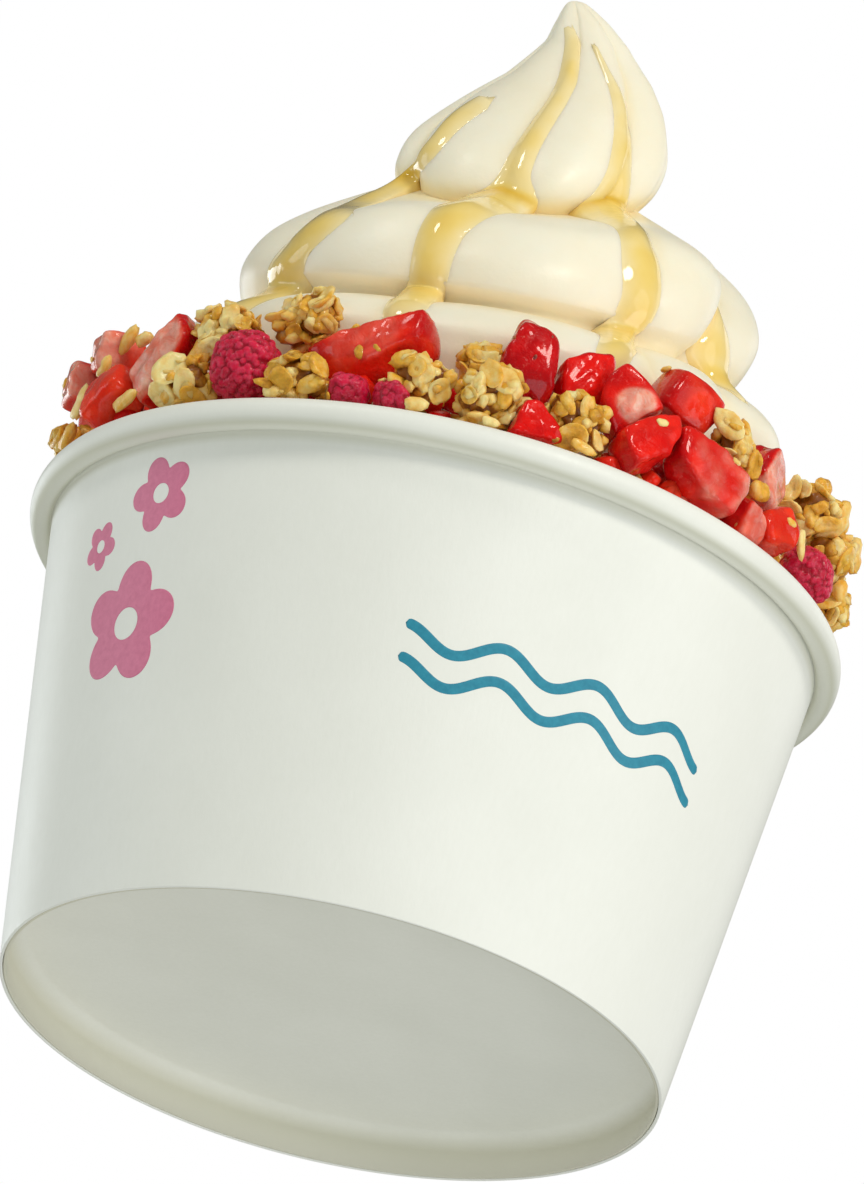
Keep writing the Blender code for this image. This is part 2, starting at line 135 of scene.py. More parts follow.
# Painted shade in the creases, darker and yellower: height, width and strength.
CREASE_PAINTED_SHADES = ((LOWER_LEVEL + 0.4, 2.2, 0.45), (UPPER_LEVEL + 0.5, 2.2, 0.8))

# Honey: each stream runs down one groove, as (height, left edge, right edge, crown), the edges in
# millimetres either side of the groove.
HONEY_STREAMS = {
    "honey_stream_left": (0, (
        (145.6, 4.8, 5.8, 0.2), (143.8, 3.6, 7, 0.7), (138, 4, 6.9, 0.9),
        (134.5, 0.4, 5.2, 1), (131, -3.8, 0.6, 1), (128, -4.6, 1.6, 1.1),
        (124, -2.4, 6, 1.2), (118, -2.2, 12.4, 1.3), (114.5, -3, 10.6, 1.3),
        (112, -3.6, 7.8, 1.2), (108.5, -5, 5.4, 1.2), (105, -6, 4.2, 1.3),
        (101, -6.8, 2.6, 1.1), (98, -6, 0.4, 0.8), (95, -4, -2, 0.3))),
    "honey_stream_middle": (1, (
        (157.4, -1.4, -0.6, 0.2), (154.4, -1.2, 0.2, 0.5), (151, -0.9, 1.1, 0.7),
        (146, -0.4, 2, 0.8), (140, -0.7, 2.3, 0.8), (135, -1.2, 2.7, 0.9),
        (132.6, -1.7, 4.7, 1.1), (130.6, -3.8, 5, 1.3), (127.5, -5, 4.4, 1.2),
        (122, -4.4, 3.7, 1.1), (115, -3.6, 2.7, 1.1), (109.6, -1.9, 3.6, 1.2),
        (104.6, -2.6, 3.5, 1.2), (100.5, -1.9, 4.2, 1), (97, -1.2, 2.6, 0.8),
        (94.5, 0.2, 1.2, 0.3))),
    "honey_stream_right": (2, (
        (155, -3.2, -2.7, 0.15), (149.7, -3.2, -2, 0.4), (146.5, -3, -0.5, 0.6),
        (142, -2.8, 0.8, 0.8), (137, -2.7, 1.9, 0.9), (133.6, -3, 3.2, 1),
        (131, -4.4, 4.6, 1.2), (128.6, -4.8, 4.2, 1.2), (125, -5.4, 1, 1.1),
        (119, -6, -0.5, 1), (115, -5.2, 2.1, 1.1), (111, -3.5, 4.1, 1.2),
        (107, -3.3, 4.5, 1.2), (104, -4.8, 2, 1.2), (100, -8, -2.6, 1),
        (97, -9.2, -4.4, 0.8), (94.6, -8, -6.6, 0.3))),
    "honey_stream_side": (3, (
        (116.6, -0.6, 0.4, 0.2), (113.6, -1.2, 2, 0.6), (111.4, -1.4, 4.2, 0.9),
        (108.6, -0.8, 7, 1.1), (106, 1.6, 9.6, 1.1), (104, 4.4, 9.4, 0.9),
        (102, 5.4, 8, 0.6), (100.4, 6, 7, 0.2))),
}
HONEY_EASE, HONEY_FLOW, HONEY_SECTION, HONEY_WAVINESS = 4, 1.6, 1.9, 0.22
HONEY_LEVELS, HONEY_AROUND = 200, 32
# Where honey hangs over a crease it lifts off outwards, and upwards by these shares of that:
# height, share.
HONEY_LIFT_RISE = ((LOWER_LEVEL, 0.05), (UPPER_LEVEL, 0.8), (TIP[0][1], 0.4))
# Deep honey in the creases: height, width, share.
HONEY_POOLS = ((UPPER_LEVEL + 0.5, 1.8, 1), (LOWER_LEVEL, 1.6, 0.5))

# Print: long waves as place along the wall, height, length, stroke, wave height, number of waves;
# blossoms as place along the wall, height, radius, turn in degrees.
WAVE_PRINTS = {
    "print_wave_upper": (22, 39.4, 50, 1.5, 1.5, 3.5),
    "print_wave_lower": (22, 34.6, 50, 1.5, 1.5, 3.5),
}
BLOSSOM_PRINTS = {
    "print_blossom_large": (-46.5, 39.5, 9, 8),
    "print_blossom_middle": (-45, 58, 5.6, -20),
    "print_blossom_small": (-56.5, 52.5, 3.6, 30),
}
PETALS = 5
INK_PROUD, INK_CLEAR = 0.03, 0.012

# Strawberry pieces: azimuth and elevation that the cut face looks to, how pale that face is, how
# orange the flesh is, how sharp the edges are, and how much narrower the top is.
PIECE_LOOKS = (
    (-50, -5, 0.8, 0.6, 11, 0), (-45, -10, 0.9, 0.5, 11, 0), (-35, -10, 0, 1, 10, 0),
    (-85, -40, 1, 0.8, 14, 0.25), (-5, 25, 0.15, 0.5, 16, 0.1), (190, -10, 0, 0, 6, 0.35),
    (15, -20, 0, 0.1, 13, 0), (-30, -35, 0, 0.1, 13, 0.2), (-15, -25, 1, 0.2, 20, 0),
    (25, 20, 0, 0.2, 18, 0), (5, 15, 0, 0.7, 20, 0.15), (100, -30, 0.9, 0.2, 16, 0),
    (55, -35, 0.9, 0.3, 15, 0), (60, -30, 0.5, 0.7, 11, 0), (40, 0, 0, 0.8, 11, 0),
)
DEFAULT_CUT_STEP = 2.4
DEFAULT_PALE, DEFAULT_SHARPNESS = 0.45, 14

# Loose oat flakes and grains: azimuth, radius, height, length, width, thickness, lean.
LOOSE_OATS = (
    (-74.6, 55.9, 77.2, 5.4, 3.4, 1.6, 62), (-76.8, 56, 72.6, 5, 2.8, 1.8, 35),
    (-60, 55.2, 73.6, 5, 2.6, 1.6, 22), (-68, 53.6, 85.2, 6.4, 2.6, 2, 38),
    (-64, 52.6, 85.2, 3.4, 2.4, 2, 10), (-69.5, 55.2, 81.4, 3.6, 2.2, 1.8, 70),
    (-52, 54.4, 73, 3.6, 2.2, 1.4, 8), (-31, 54.8, 71.6, 3, 2, 1.3, 0),
    (69.5, 52, 89.2, 4.6, 3.2, 2.6, 35), (74, 54.4, 86.8, 5.4, 3.4, 2.8, -60),
    (79, 56.2, 83.6, 5.6, 3.4, 2.6, -30), (76.7, 56, 76.4, 4.6, 3.6, 2.6, -20),
    (48.5, 53.6, 79, 3.8, 3.2, 2.4, 20), (44, 52.6, 83, 4.2, 2.2, 1.6, -50),
    (60.5, 54.6, 76.4, 4.4, 1.8, 1.2, -62), (2, 54.6, 71.4, 2.6, 1.6, 1, 0),
    (16, 54.6, 71.8, 4, 1.8, 1, -10), (-9, 54.8, 71.6, 3.4, 2.4, 1.4, 12),
    (-49, 51.6, 80.6, 6, 4.2, 3, 70),
)
# Grains and flakes in a cluster: count for each square millimetre, fewest, most, depth, size,
# scatter.
CLUSTER_KINDS = (
    (0.45, 26, 70, 0.82, (1.6, 1.15, 0.95), 0.4), (0.16, 8, 24, 0.90, (2.3, 1.7, 0.7), 0.3)
)
BIT_COUNT = 460
BIT_LEVELS = (70.9, 80)
TOPPING_REACH = RIM_RADIUS - 0.1
TOPPING_FLOOR = CUP_HEIGHT + 0.1
FLAT = (1, 1, 0)
# Rows and columns of the toppings' meshes, and the seeds of their random draws.
STRAWBERRY_GRID, RASPBERRY_GRID, CORE_GRID = (56, 84), (110, 180), (34, 52)
FLAKE_GRID, GRAIN_GRID, SEED_GRID = (7, 14), (8, 12), (4, 8)
SEED_DRAW, FLAKE_DRAW, BIT_DRAW, CRUMB_DRAW = 11, 9, 31, 77
SEEDS_EACH, FRUIT_SHARE, CRUMB_TRIES, CRUMB_SHARE = 16, 0.55, 6, 0.22
DRUPELETS_PER_AREA, DRUPELET_COUNTS = 3, (120, 340)
# Roundness of raspberries and clusters, and how narrowly the painted shade along an edge between
# two faces spreads.
ROUND_SHARPNESS, EDGE_POWER = 7, 24
RIPPLE_WAVES, RIPPLE_GAIN, FULL_SPIN = 6, 1.8, 6.3
SCATTER_INPUTS = ("Subsurface Weight", "Subsurface Radius", "Subsurface Scale")

# Camera, floor and light
CAMERA_RIGHT = Vector((0.97277, -0.09134, 0.21300))
CAMERA_UP = Vector((-0.23175, -0.38393, 0.89380))
CAMERA_FORWARD = Vector((-0.00014, 0.91883, 0.39465))
CAMERA_PLACE = Vector((0, -3.18184, -1.29847))
CAMERA_LENS, CAMERA_SENSOR = 759, 36
ROOM, REFLECTED_ROOM = 0.45, 0.14
ROOM_COLOUR = (0.95, 0.99, 0.89, 1)
# The floor, in metres: half its size, its height, and where it fades out.
FLOOR_SIZE, FLOOR_DROP, FLOOR_FADE = 1.1, -2e-4, (0.35, 1.05)
# Lights: azimuth, elevation, distance in metres, size in metres, watts, colour.
LIGHTS = {
    "light_key_right": (62, 12, 1.3, 0.7, 1.5, (1, 1, 1)),
    "light_right_low": (75, -15, 1.3, 0.7, 3.3, (1, 0.97, 0.96)),
    "light_front_high": (28, 34, 1.2, 0.3, 4.9, (1, 0.96, 0.86)),
    "light_front_low": (10, -32, 1.5, 0.8, 3.3, (0.84, 0.93, 1)),
    "light_below": (-20, -75, 1.3, 0.9, 2.6, (1, 0.96, 0.98)),
    "light_left": (-100, 10, 1.3, 0.7, 1.9, (0.88, 0.95, 1)),
    "light_back_left": (-145, 5, 1.3, 0.7, 3.6, (0.92, 0.97, 1)),
    "light_back_right": (140, 25, 1.3, 0.7, 1.2, (1, 1, 1)),
    "light_top_left": (-48, 50, 1.2, 0.25, 1.9, (1, 0.97, 0.93)),
}
LIGHT_AIM = 0.07


# ------------ surfaces and meshes

def ease(value, start, end):
    """0 before start, 1 after end, with a smooth S between."""
    t = np.clip((value - start) / (end - start), 0, 1)
    return t * t * (3 - 2 * t)


def bell(value, width):
    """1 where the value is 0, falling away on both sides of it."""
    return np.exp(-((value / width) ** 2))


def unit(vectors):
    """Vectors scaled to length one."""
    return vectors / np.maximum(np.linalg.norm(vectors, axis=-1, keepdims=True), 1e-12)


def vectors(*parts):
    """Points or directions put together from their coordinates."""
    return np.stack(np.broadcast_arrays(*parts), axis=-1)


def round_axis(radius, angle, height):
    """Points round Z: an angle in radians, 0 at the front and growing towards +X."""
    return vectors(radius * np.sin(angle), -radius * np.cos(angle), height)


def angle_away(azimuth, middle):
    """Degrees between two azimuths, the short way round."""
    return np.abs((azimuth - middle + 180) % 360 - 180)


def add_object(name, data):
    """An object of the scene that shows the given data."""
    thing = bpy.data.objects.new(name, data)
    bpy.context.scene.collection.objects.link(thing)
    return thing


def add_piece(name, points, faces, mat, slot, replaced=(), **attributes):
    """Make one mesh piece from points in millimetres and faces, and hand it to the frame."""
    mesh = bpy.data.meshes.new(name)
    mesh.from_pydata(np.asarray(points, float) * MM, [], faces)
    for key, values in attributes.items():
        layer = mesh.attributes.new(key, "FLOAT", "POINT")
        layer.data.foreach_set("value", np.asarray(values, np.float32).ravel())
    mesh.materials.append(mat)
    mesh.shade_smooth()
    mesh.update()
    piece = add_object(name, mesh)
    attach(piece, BODY)
    if replaced:
        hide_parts(*replaced)


def grid_faces(rows, columns, wrap_rows=False):
    """Quads of a grid whose points run round column by column inside each row."""
    rings = np.arange(rows if wrap_rows else rows - 1)
    r, c = np.meshgrid(rings, np.arange(columns), indexing="ij")
    r1, c1 = (r + 1) % rows, (c + 1) % columns
    quads = [r * columns + c, r * columns + c1, r1 * columns + c1, r1 * columns + c]
    return np.stack(quads, axis=-1).reshape(-1, 4).tolist()


def capped_faces(rows, columns):
    """Grid quads plus a fan at each end, to the two points that come after the grid's."""
    ring = np.arange(columns)
    after, top = (ring + 1) % columns, (rows - 1) * columns
    first, last = np.full(columns, rows * columns), np.full(columns, rows * columns + 1)
    faces = grid_faces(rows, columns)
    for fan in ([first, after, ring], [top + ring, top + after, last]):
        faces += np.stack(fan, axis=-1).tolist()
    return faces


def capped(points, first, last):
    """Points and faces of a grid closed by a fan at each end, to the first and last points."""
    return np.concatenate([points.reshape(-1, 3), [first, last]]), capped_faces(*points.shape[:2])


def flip(faces):
    """The same faces turned over."""
    return [face[::-1] for face in faces]


def ball_directions(rows, columns):
    """Unit directions on circles of latitude from the south pole up, the two poles last."""
    latitude = (-math.pi / 2 + math.pi * (np.arange(rows) + 1) / (rows + 1))[:, None]
    longitude, flat = math.tau * np.arange(columns) / columns, np.cos(latitude)
    ring = vectors(flat * np.cos(longitude), flat * np.sin(longitude), np.sin(latitude))
    return np.concatenate([ring.reshape(-1, 3), [[0, 0, -1], [0, 0, 1]]])


def turned_points(outline, radius_change=None):
    """A (radius, height) outline carried round Z. radius_change gives what is added to the radius
    from the azimuth in degrees, the height and the radius."""
    azimuth = 360 * np.arange(AROUND)[None, :] / AROUND
    radius, height = (np.repeat(side[:, None], AROUND, axis=1) for side in np.array(outline).T)
    if radius_change:
        radius = radius + radius_change(azimuth, height, radius)
    return round_axis(radius, np.radians(azimuth), height)


def smooth_curve(points, per_span, sharp=()):
    """Catmull-Rom curve through the points, creased at those listed in sharp, where the tangent
    is zero."""
    points = np.asarray(points, float)
    tangents = np.gradient(points, axis=0)
    for index in sharp:
        tangents[index] = 0
    t = np.linspace(0, 1, per_span, endpoint=False)[None, :, None]
    a, b = points[:-1, None, :], points[1:, None, :]
    m, n = tangents[:-1, None, :], tangents[1:, None, :]
    curve = (
        (2 * t**3 - 3 * t**2 + 1) * a + (t**3 - 2 * t**2 + t) * m
        + (-2 * t**3 + 3 * t**2) * b + (t**3 - t**2) * n
    )
    return np.concatenate([curve.reshape(-1, points.shape[1]), points[-1:]])


def arc(centre, half_sizes, start, end, count):
    """Points along an elliptical arc, angles in degrees from the +radius direction."""
    angles = np.radians(np.linspace(start, end, count))
    radii = centre[0] + half_sizes[0] * np.cos(angles)
    heights = centre[1] + half_sizes[1] * np.sin(angles)
    return list(zip(radii.tolist(), heights.tolist()))


def straight(start, end, count):
    """Points strictly between two points, evenly spaced."""
    share = (np.arange(count) + 1)[:, None] / (count + 1)
    return ((1 - share) * np.array(start) + share * np.array(end)).tolist()


def ripples(points, wavelength, seed):
    """Smooth noise from -1 to 1: the mean of crossed sine waves drawn from the seed."""
    draw = np.random.default_rng(seed)
    total = np.zeros(points.shape[:-1])
    for _ in range(RIPPLE_WAVES):
        direction = unit(draw.normal(size=3)) * draw.uniform(0.7, 1.4)
        total += np.sin(points @ direction * (math.tau / wavelength) + draw.uniform(0, FULL_SPIN))
    return total / RIPPLE_WAVES * RIPPLE_GAIN


# ------------ materials

def add_node(tree, kind, inputs, output=0, **settings):
    """One output of a new node whose inputs are each set to a value or linked from a socket."""
    node = tree.nodes.new("ShaderNode" + kind)
    for key, value in settings.items():
        setattr(node, key, value)
    for key, value in inputs.items():
        if isinstance(value, bpy.types.NodeSocket):
            tree.links.new(value, node.inputs[key])
        else:
            node.inputs[key].default_value = value
    return node.outputs[output]


class Finish:
    """A node material with one Principled shader and short ways to add pattern nodes. coat is the
    coat's weight and roughness, and scatter the subsurface weight, radius and scale."""

    def __init__(self, name, roughness, ior=1.5, coat=(), scatter=(), **values):
        self.material = bpy.data.materials.new(name)
        self.material.use_nodes = True
        self.tree = self.material.node_tree
        self.shader = self.tree.nodes["Principled BSDF"]
        values.update(zip(("Roughness", "IOR"), (roughness, ior)))
        values.update(zip(("Coat Weight", "Coat Roughness"), coat))
        values.update(zip(SCATTER_INPUTS, scatter))
        for key, value in values.items():
            self.shader.inputs[key.replace("_", " ")].default_value = value
        self.place = self.node("TexCoord", {}, "Object")
        self.heights = None

    def node(self, kind, inputs, output=0, **settings):
        """A new node of this material."""
        return add_node(self.tree, kind, inputs, output, **settings)

    def noise(self, scale, detail=3, roughness=0.5, distortion=0, stretch=None):
        """Noise of features about 1 / scale metres across."""
        place = self.place
        if stretch:
            place = self.node("Mapping", {"Vector": place, "Scale": stretch})
        grain = {"Scale": scale, "Detail": detail, "Roughness": roughness, "Distortion": distortion}
        return self.node("TexNoise", {"Vector": place, **grain}, "Fac")

    def attribute(self, name):
        """The piece's own point attribute."""
        return self.node("Attribute", {}, "Fac", attribute_name=name)

    def span(self, value, low, high, out_low=0, out_high=1):
        """The value spread from one range to another, and held at its ends."""
        ranges = {"From Min": low, "From Max": high, "To Min": out_low, "To Max": out_high}
        return self.node("MapRange", {"Value": value, **ranges}, "Result")

    def math(self, operation, a, b):
        """Arithmetic on two values, each a number or a socket."""
        return self.node("Math", {0: a, 1: b}, operation=operation)

    def plus(self, a, b):
        """The sum of two values."""
        return self.math("ADD", a, b)

    def times(self, a, b):
        """The product of two values."""
        return self.math("MULTIPLY", a, b)

    def blend(self, factor, *colours):
        """One colour into another by a factor; each is a colour or a socket."""
        first, last = ((*c, 1) if isinstance(c, tuple) else c for c in colours)
        return self.node("Mix", {0: factor, 6: first, 7: last}, 2, data_type="RGBA")

    def ramp(self, value, first, *rest):
        """Colours at rising values, each given as (value, colour)."""
        level, colour = first
        for next_level, next_colour in rest:
            colour = self.blend(self.span(value, level, next_level), colour, next_colour)
            level = next_level
        return colour

    def relief(self, socket, depth):
        """Surface relief of a given depth in millimetres, added to any relief before it."""
        before = {"Normal": self.heights} if self.heights else {}
        bump = {"Height": socket, "Distance": depth * MM, "Strength": 1, **before}
        self.heights = self.node("Bump", bump)

    def done(self, colour, roughness=None):
        """Link what varies to the shader. Returns the material."""
        sockets = {"Base Color": colour, "Roughness": roughness, "Normal": self.heights}
        for key, socket in sockets.items():
            if socket:
                self.tree.links.new(socket, self.shader.inputs[key])
        return self.material


def paper_finish(name, light, dark, painted_shade_tone, roughness):
    """Coated paper board: cloudy fibre tone, fine tooth and a soft satin surface; the shade
    attribute paints shade, drawing in the darker tone where shadow falls."""
    finish = Finish(name, roughness, 1.45)
    cloud = finish.span(finish.noise(60, 4), 0.3, 0.7)
    fibre = finish.span(finish.noise(1400, 3, 0.6, stretch=(1, 1, 0.35)), 0.25, 0.75)
    tone = finish.plus(finish.times(cloud, 0.65), finish.times(fibre, 0.35))
    # Painted shade: the shade attribute darkens the paper towards the shadow tone.
    board = finish.blend(finish.attribute("shade"), finish.blend(tone, dark, light), painted_shade_tone)
    finish.relief(finish.noise(160, 2), 0.06)
    finish.relief(fibre, 0.015)
    return finish.done(board, finish.span(fibre, 0, 1, roughness + 0.06, roughness - 0.04))


def ink_finish(name, colour, shade):
    """Printed ink: even colour with the paper's tooth showing faintly through."""
    finish = Finish(name, 0.4, 1.45)
    grain = finish.span(finish.noise(1200, 3, 0.6), 0.3, 0.7)
    finish.relief(grain, 0.012)
    return finish.done(finish.blend(grain, shade, colour))


def yogurt_finish():
    """Cream-coloured soft-serve with a fine icy grain, and yellow painted shade in the creases."""
    scatter = 0.55, (0.85, 0.95, 1), 0.0013
    finish = Finish("frozen_yogurt_cream", 0.4, 1.4, (0.08, 0.25), scatter)
    cloud = finish.span(finish.noise(70), 0.3, 0.7)
    open_tone = finish.blend(cloud, (0.985, 0.865, 0.695), (0.995, 0.905, 0.775))
    # Painted shade: the crease attribute draws in a darker yellow tone.
    tone = finish.blend(finish.attribute("crease"), open_tone, (0.96, 0.76, 0.39))
    grain = finish.noise(1500, 3, 0.55)
    finish.relief(finish.noise(220), 0.12)
    finish.relief(grain, 0.04)
    return finish.done(tone, finish.span(grain, 0.3, 0.7, 0.34, 0.48))


def honey_finish():
    """Golden honey over cream: pale where it is thin, amber in the pools, and wet."""
    finish = Finish("honey_gold", 0.06, 1.42, (0.3, 0.02))
    cloud = finish.span(finish.noise(170, 2), 0.3, 0.7, -0.12, 0.12)
    deep = finish.plus(finish.attribute("depth"), cloud)
    finish.relief(finish.noise(260, 2), 0.18)
    return finish.done(finish.ramp(
        deep, (0, (0.95, 0.80, 0.46)), (0.5, (0.91, 0.67, 0.20)), (1.1, (0.82, 0.50, 0.05))
    ))


def strawberry_finish():
    """Ripe strawberry: crimson skin with pale flecks, red to orange flesh, pale pink where the cut
    face shows the core, painted shade darkening the edges as on glassy fruit, and wet."""
    finish = Finish(
        "strawberry_flesh_and_skin", 0.3, 1.36, (0.8, 0.05), (0.3, (1, 0.12, 0.08), 0.002),
        Specular_IOR_Level=0.15, Coat_IOR=1.33,
    )
    mottled = finish.span(finish.noise(240, 4, 0.55), 0.3, 0.7)
    streaks = finish.span(finish.noise(520, 4, 0.6, 0.8), 0.35, 0.7)
    flecks = finish.span(finish.noise(1000, 3, 0.6, 1.5), 0.6, 0.74)
    skin = finish.blend(mottled, (0.46, 0.002, 0.005), (0.72, 0.008, 0.010))
    skin = finish.blend(finish.times(flecks, 0.45), skin, (0.86, 0.24, 0.20))
    crimson = finish.blend(mottled, (0.80, 0.002, 0.004), (0.93, 0.010, 0.008))
    orange = finish.blend(mottled, (0.94, 0.022, 0.004), (0.98, 0.085, 0.028))
    flesh = finish.blend(finish.attribute("orange"), crimson, orange)
    core = finish.blend(streaks, (0.95, 0.28, 0.18), (0.98, 0.64, 0.52))
    inner = finish.blend(finish.attribute("pale"), flesh, core)
    body = finish.blend(finish.attribute("flesh"), skin, inner)
    # Painted shade: the edge attribute darkens the piece along its edges, standing in for the dark
    # outlines of glassy fruit.
    edge = finish.times(finish.attribute("edge"), 0.35)
    for pattern, depth in ((mottled, 0.2), (streaks, 0.09), (finish.noise(1200), 0.05)):
        finish.relief(pattern, depth)
    body = finish.blend(edge, body, (0.42, 0.002, 0.006))
    return finish.done(body, finish.span(streaks, 0, 1, 0.16, 0.32))


def seed_finish():
    """Small strawberry seeds under a red film."""
    finish = Finish("strawberry_seed", 0.3, 1.45, (0.5, 0.1))
    tone = finish.span(finish.noise(300, 2), 0.4, 0.65)
    return finish.done(finish.blend(tone, (0.22, 0.012, 0.008), (0.60, 0.20, 0.06)))


def raspberry_finish():
    """Crimson drupelets with painted shade darkening the clefts, frosted with pale pink at their
    tops.
    """
    scatter = 0.35, (1, 0.08, 0.18), 0.0018
    finish = Finish("raspberry_skin", 0.4, 1.36, (0.25, 0.15), scatter)
    dome = finish.attribute("dome")
    speckle = finish.span(finish.noise(1500, 3, 0.65), 0.45, 0.7)
    mottled = finish.span(finish.noise(330), 0.35, 0.65)
    ripe = finish.blend(mottled, (0.50, 0.002, 0.030), (0.74, 0.008, 0.064))
    # Painted shade: dark in the clefts between drupelets, by the dome attribute.
    body = finish.blend(dome, (0.42, 0.001, 0.022), ripe)
    frost = finish.times(finish.times(speckle, dome), 0.3)
    finish.relief(speckle, 0.08)
    return finish.done(finish.blend(frost, body, (0.92, 0.14, 0.28)))


def granola_finish():
    """Toasted oats bound with honey: pale grains, golden flakes, and painted shade making the
    creases dark brown.
    """
    scatter = 0.2, (1, 0.55, 0.25), 0.0015
    finish = Finish("granola_oats", 0.42, 1.38, (0.25, 0.12), scatter)
    grain = finish.span(finish.noise(800, 4, 0.6), 0.3, 0.7, -0.16, 0.16)
    toast = finish.span(finish.noise(260), 0.35, 0.65, -0.16, 0.16)
    # The shade attribute: a random toast tone, less painted shade in the creases.
    shade = finish.plus(finish.attribute("shade"), finish.plus(grain, toast))
    tone = finish.ramp(
        shade, (0.1, (0.24, 0.07, 0.003)), (0.6, (0.90, 0.455, 0.042)), (1.1, (1, 0.80, 0.35))
    )
    finish.relief(finish.noise(1000, 4, 0.6), 0.2)
    return finish.done(tone, finish.span(grain, -0.16, 0.16, 0.32, 0.5))


# ------------ paper cup

def wall_radius(height, inset=0):
    """Radius of the cup's outer face at a height, moved in by the plies outside of it."""
    return FOOT_RADIUS + WALL_SLOPE * height - inset


def seam_change(azimuth, height, radius):
    """The side seam at the back: a small step where one board edge laps over the other, thinning
    out on its hidden side."""
    along = azimuth - SEAM_AZIMUTH
    step = ease(along, -0.35, 0) * (1 - ease(along, SEAM_WIDTH * 0.4, SEAM_WIDTH))
    outside = radius > wall_radius(height) - 0.5 * WALL_PLY
    below_roll = 1 - ease(height, ROLL_BOTTOM - 1, ROLL_BOTTOM)
    return SEAM_STEP * step * outside * below_roll * ease(height, *SEAM_START)


def wall_outline():
    """Rolled rim, cone-shaped wall, and the thin lower edge that the cup stands on."""
    edge = FOOT_ROUNDING
    roll = (ROLL_RADIUS, ROLL_HEIGHT), (ROLL_HALF_WIDTH, ROLL_HALF_HEIGHT)
    neck = (WALL_RADIUS_UNDER_ROLL, ROLL_BOTTOM - 0.1)
    foot_outside = arc((wall_radius(edge) - edge, edge), (edge, edge), 0, -90, 6)
    foot_inside = arc((wall_radius(edge, WALL_PLY) + edge, edge), (edge, edge), -90, -180, 6)
    inside = (wall_radius(ROLL_BOTTOM, WALL_PLY), ROLL_BOTTOM)
    down = arc(*roll, 90, -135, 40) + [neck] + straight(neck, foot_outside[0], 60) + foot_outside
    up = foot_inside + straight(foot_inside[-1], inside, 20) + [inside]
    return down + up + arc(*roll, 180, 96, 14)


def bottom_outline():
    """The raised disc with its skirt turned down inside the wall, from its top's middle on."""
    top = FLOOR_UNDERSIDE + FLOOR_PLY
    outer = WALL_PLY + PLY_GAP
    inner = outer + SKIRT_PLY
    fold = FLOOR_PLY - 0.1
    shoulder = wall_radius(top, outer) - fold
    hollow = FLOOR_UNDERSIDE - FLOOR_FILLET
    disc_top = straight((0, top), (shoulder, top), 16)
    round_over = arc((shoulder, top - fold), (fold, fold), 90, 0, 6)
    skirt = [(wall_radius(SKIRT_BOTTOM, inset), SKIRT_BOTTOM) for inset in (outer, inner)]
    fillet_centre = (wall_radius(hollow, inner) - FLOOR_FILLET, hollow)
    fillet = arc(fillet_centre, (FLOOR_FILLET, FLOOR_FILLET), 0, 90, 10)
    return disc_top + round_over + skirt + fillet + straight(fillet[-1], (0, FLOOR_UNDERSIDE), 24)


def make_cup():
    """Wall and bottom as turned surfaces; the wall is a closed ring, the bottom has two poles."""
    outline = wall_outline()
    wall = turned_points(outline, seam_change).reshape(-1, 3)
    wall = wall, grid_faces(len(outline), AROUND, wrap_rows=True)
    poles = (0, 0, FLOOR_UNDERSIDE + FLOOR_PLY), (0, 0, FLOOR_UNDERSIDE)
    bottom = capped(turned_points(bottom_outline()), *poles)
    for (points, faces), paper, name, slot, node, levels in (
        (wall, WALL_PAPER, "cup_paper_wall", "cup_paper", "cup_wall", ROLL_PAINTED_SHADE),
        (bottom, BOTTOM_PAPER, "cup_paper_bottom", "cup_bottom_paper", "cup_bottom", SKIRT_PAINTED_SHADE),
    ):
        # Painted shade, set by height for each piece.
        shade = np.interp(points[:, 2], *zip(*levels))
        add_piece(name, points, faces, paper_finish(*paper), slot, (node,), shade=shade)


def on_wall(along, height, at_height, proud):
    """Points on the wall from distances along it, heights and how far they stand proud."""
    radius = wall_radius(height) + INK_CLEAR + proud
    return round_axis(radius, along / wall_radius(at_height), height)


def flat_oval(count):
    """A flat oval section: shares across and heights proud, both from -1 to 1."""
    around = math.tau * np.arange(count) / count
    return (np.sign(side) * np.abs(side) ** 0.5 for side in (np.cos(around), np.sin(around)))


def wave_points(along, height, length, stroke, wave, count):
    """A printed wave on the wall: a stroke of even width with round ends follows a sine line."""
    s = np.linspace(-1, 1, 181)
    end = stroke / length
    past = np.maximum(np.abs(s) - (1 - end), 0) / end
    width = 0.5 * stroke * np.sqrt(np.maximum(1 - past**2, 0))
    line_x = along + 0.5 * length * s
    line_z = height + wave * np.sin(math.pi * count * s)
    slope = np.gradient(line_z, line_x)
    side = vectors(-slope, 1) / np.sqrt(1 + slope**2)[:, None]
    across, proud = flat_oval(12)
    x = line_x[:, None] + side[:, :1] * width[:, None] * across
    z = line_z[:, None] + side[:, 1:] * width[:, None] * across
    return on_wall(x, z, height, INK_PROUD * proud * (width > 0.01)[:, None])


def blossom_points(along, height, radius, turn):
    """A printed blossom with a bare middle: its outer edge is a circle waved into petals by a
    rounded |cosine|."""
    angle = math.tau * np.arange(200) / 200
    petal = np.sqrt(np.cos(0.5 * PETALS * (angle - math.radians(turn))) ** 2 + 0.02)
    outer = radius * (0.56 + 0.44 * petal**0.75)
    inner = np.full_like(outer, 0.26 * radius)
    across, proud = flat_oval(16)
    reach = (outer + inner)[:, None] / 2 + (outer - inner)[:, None] / 2 * across
    x = along + reach * np.sin(angle)[:, None]
    z = height + reach * np.cos(angle)[:, None]
    return on_wall(x, z, height, np.broadcast_to(INK_PROUD * proud, x.shape))


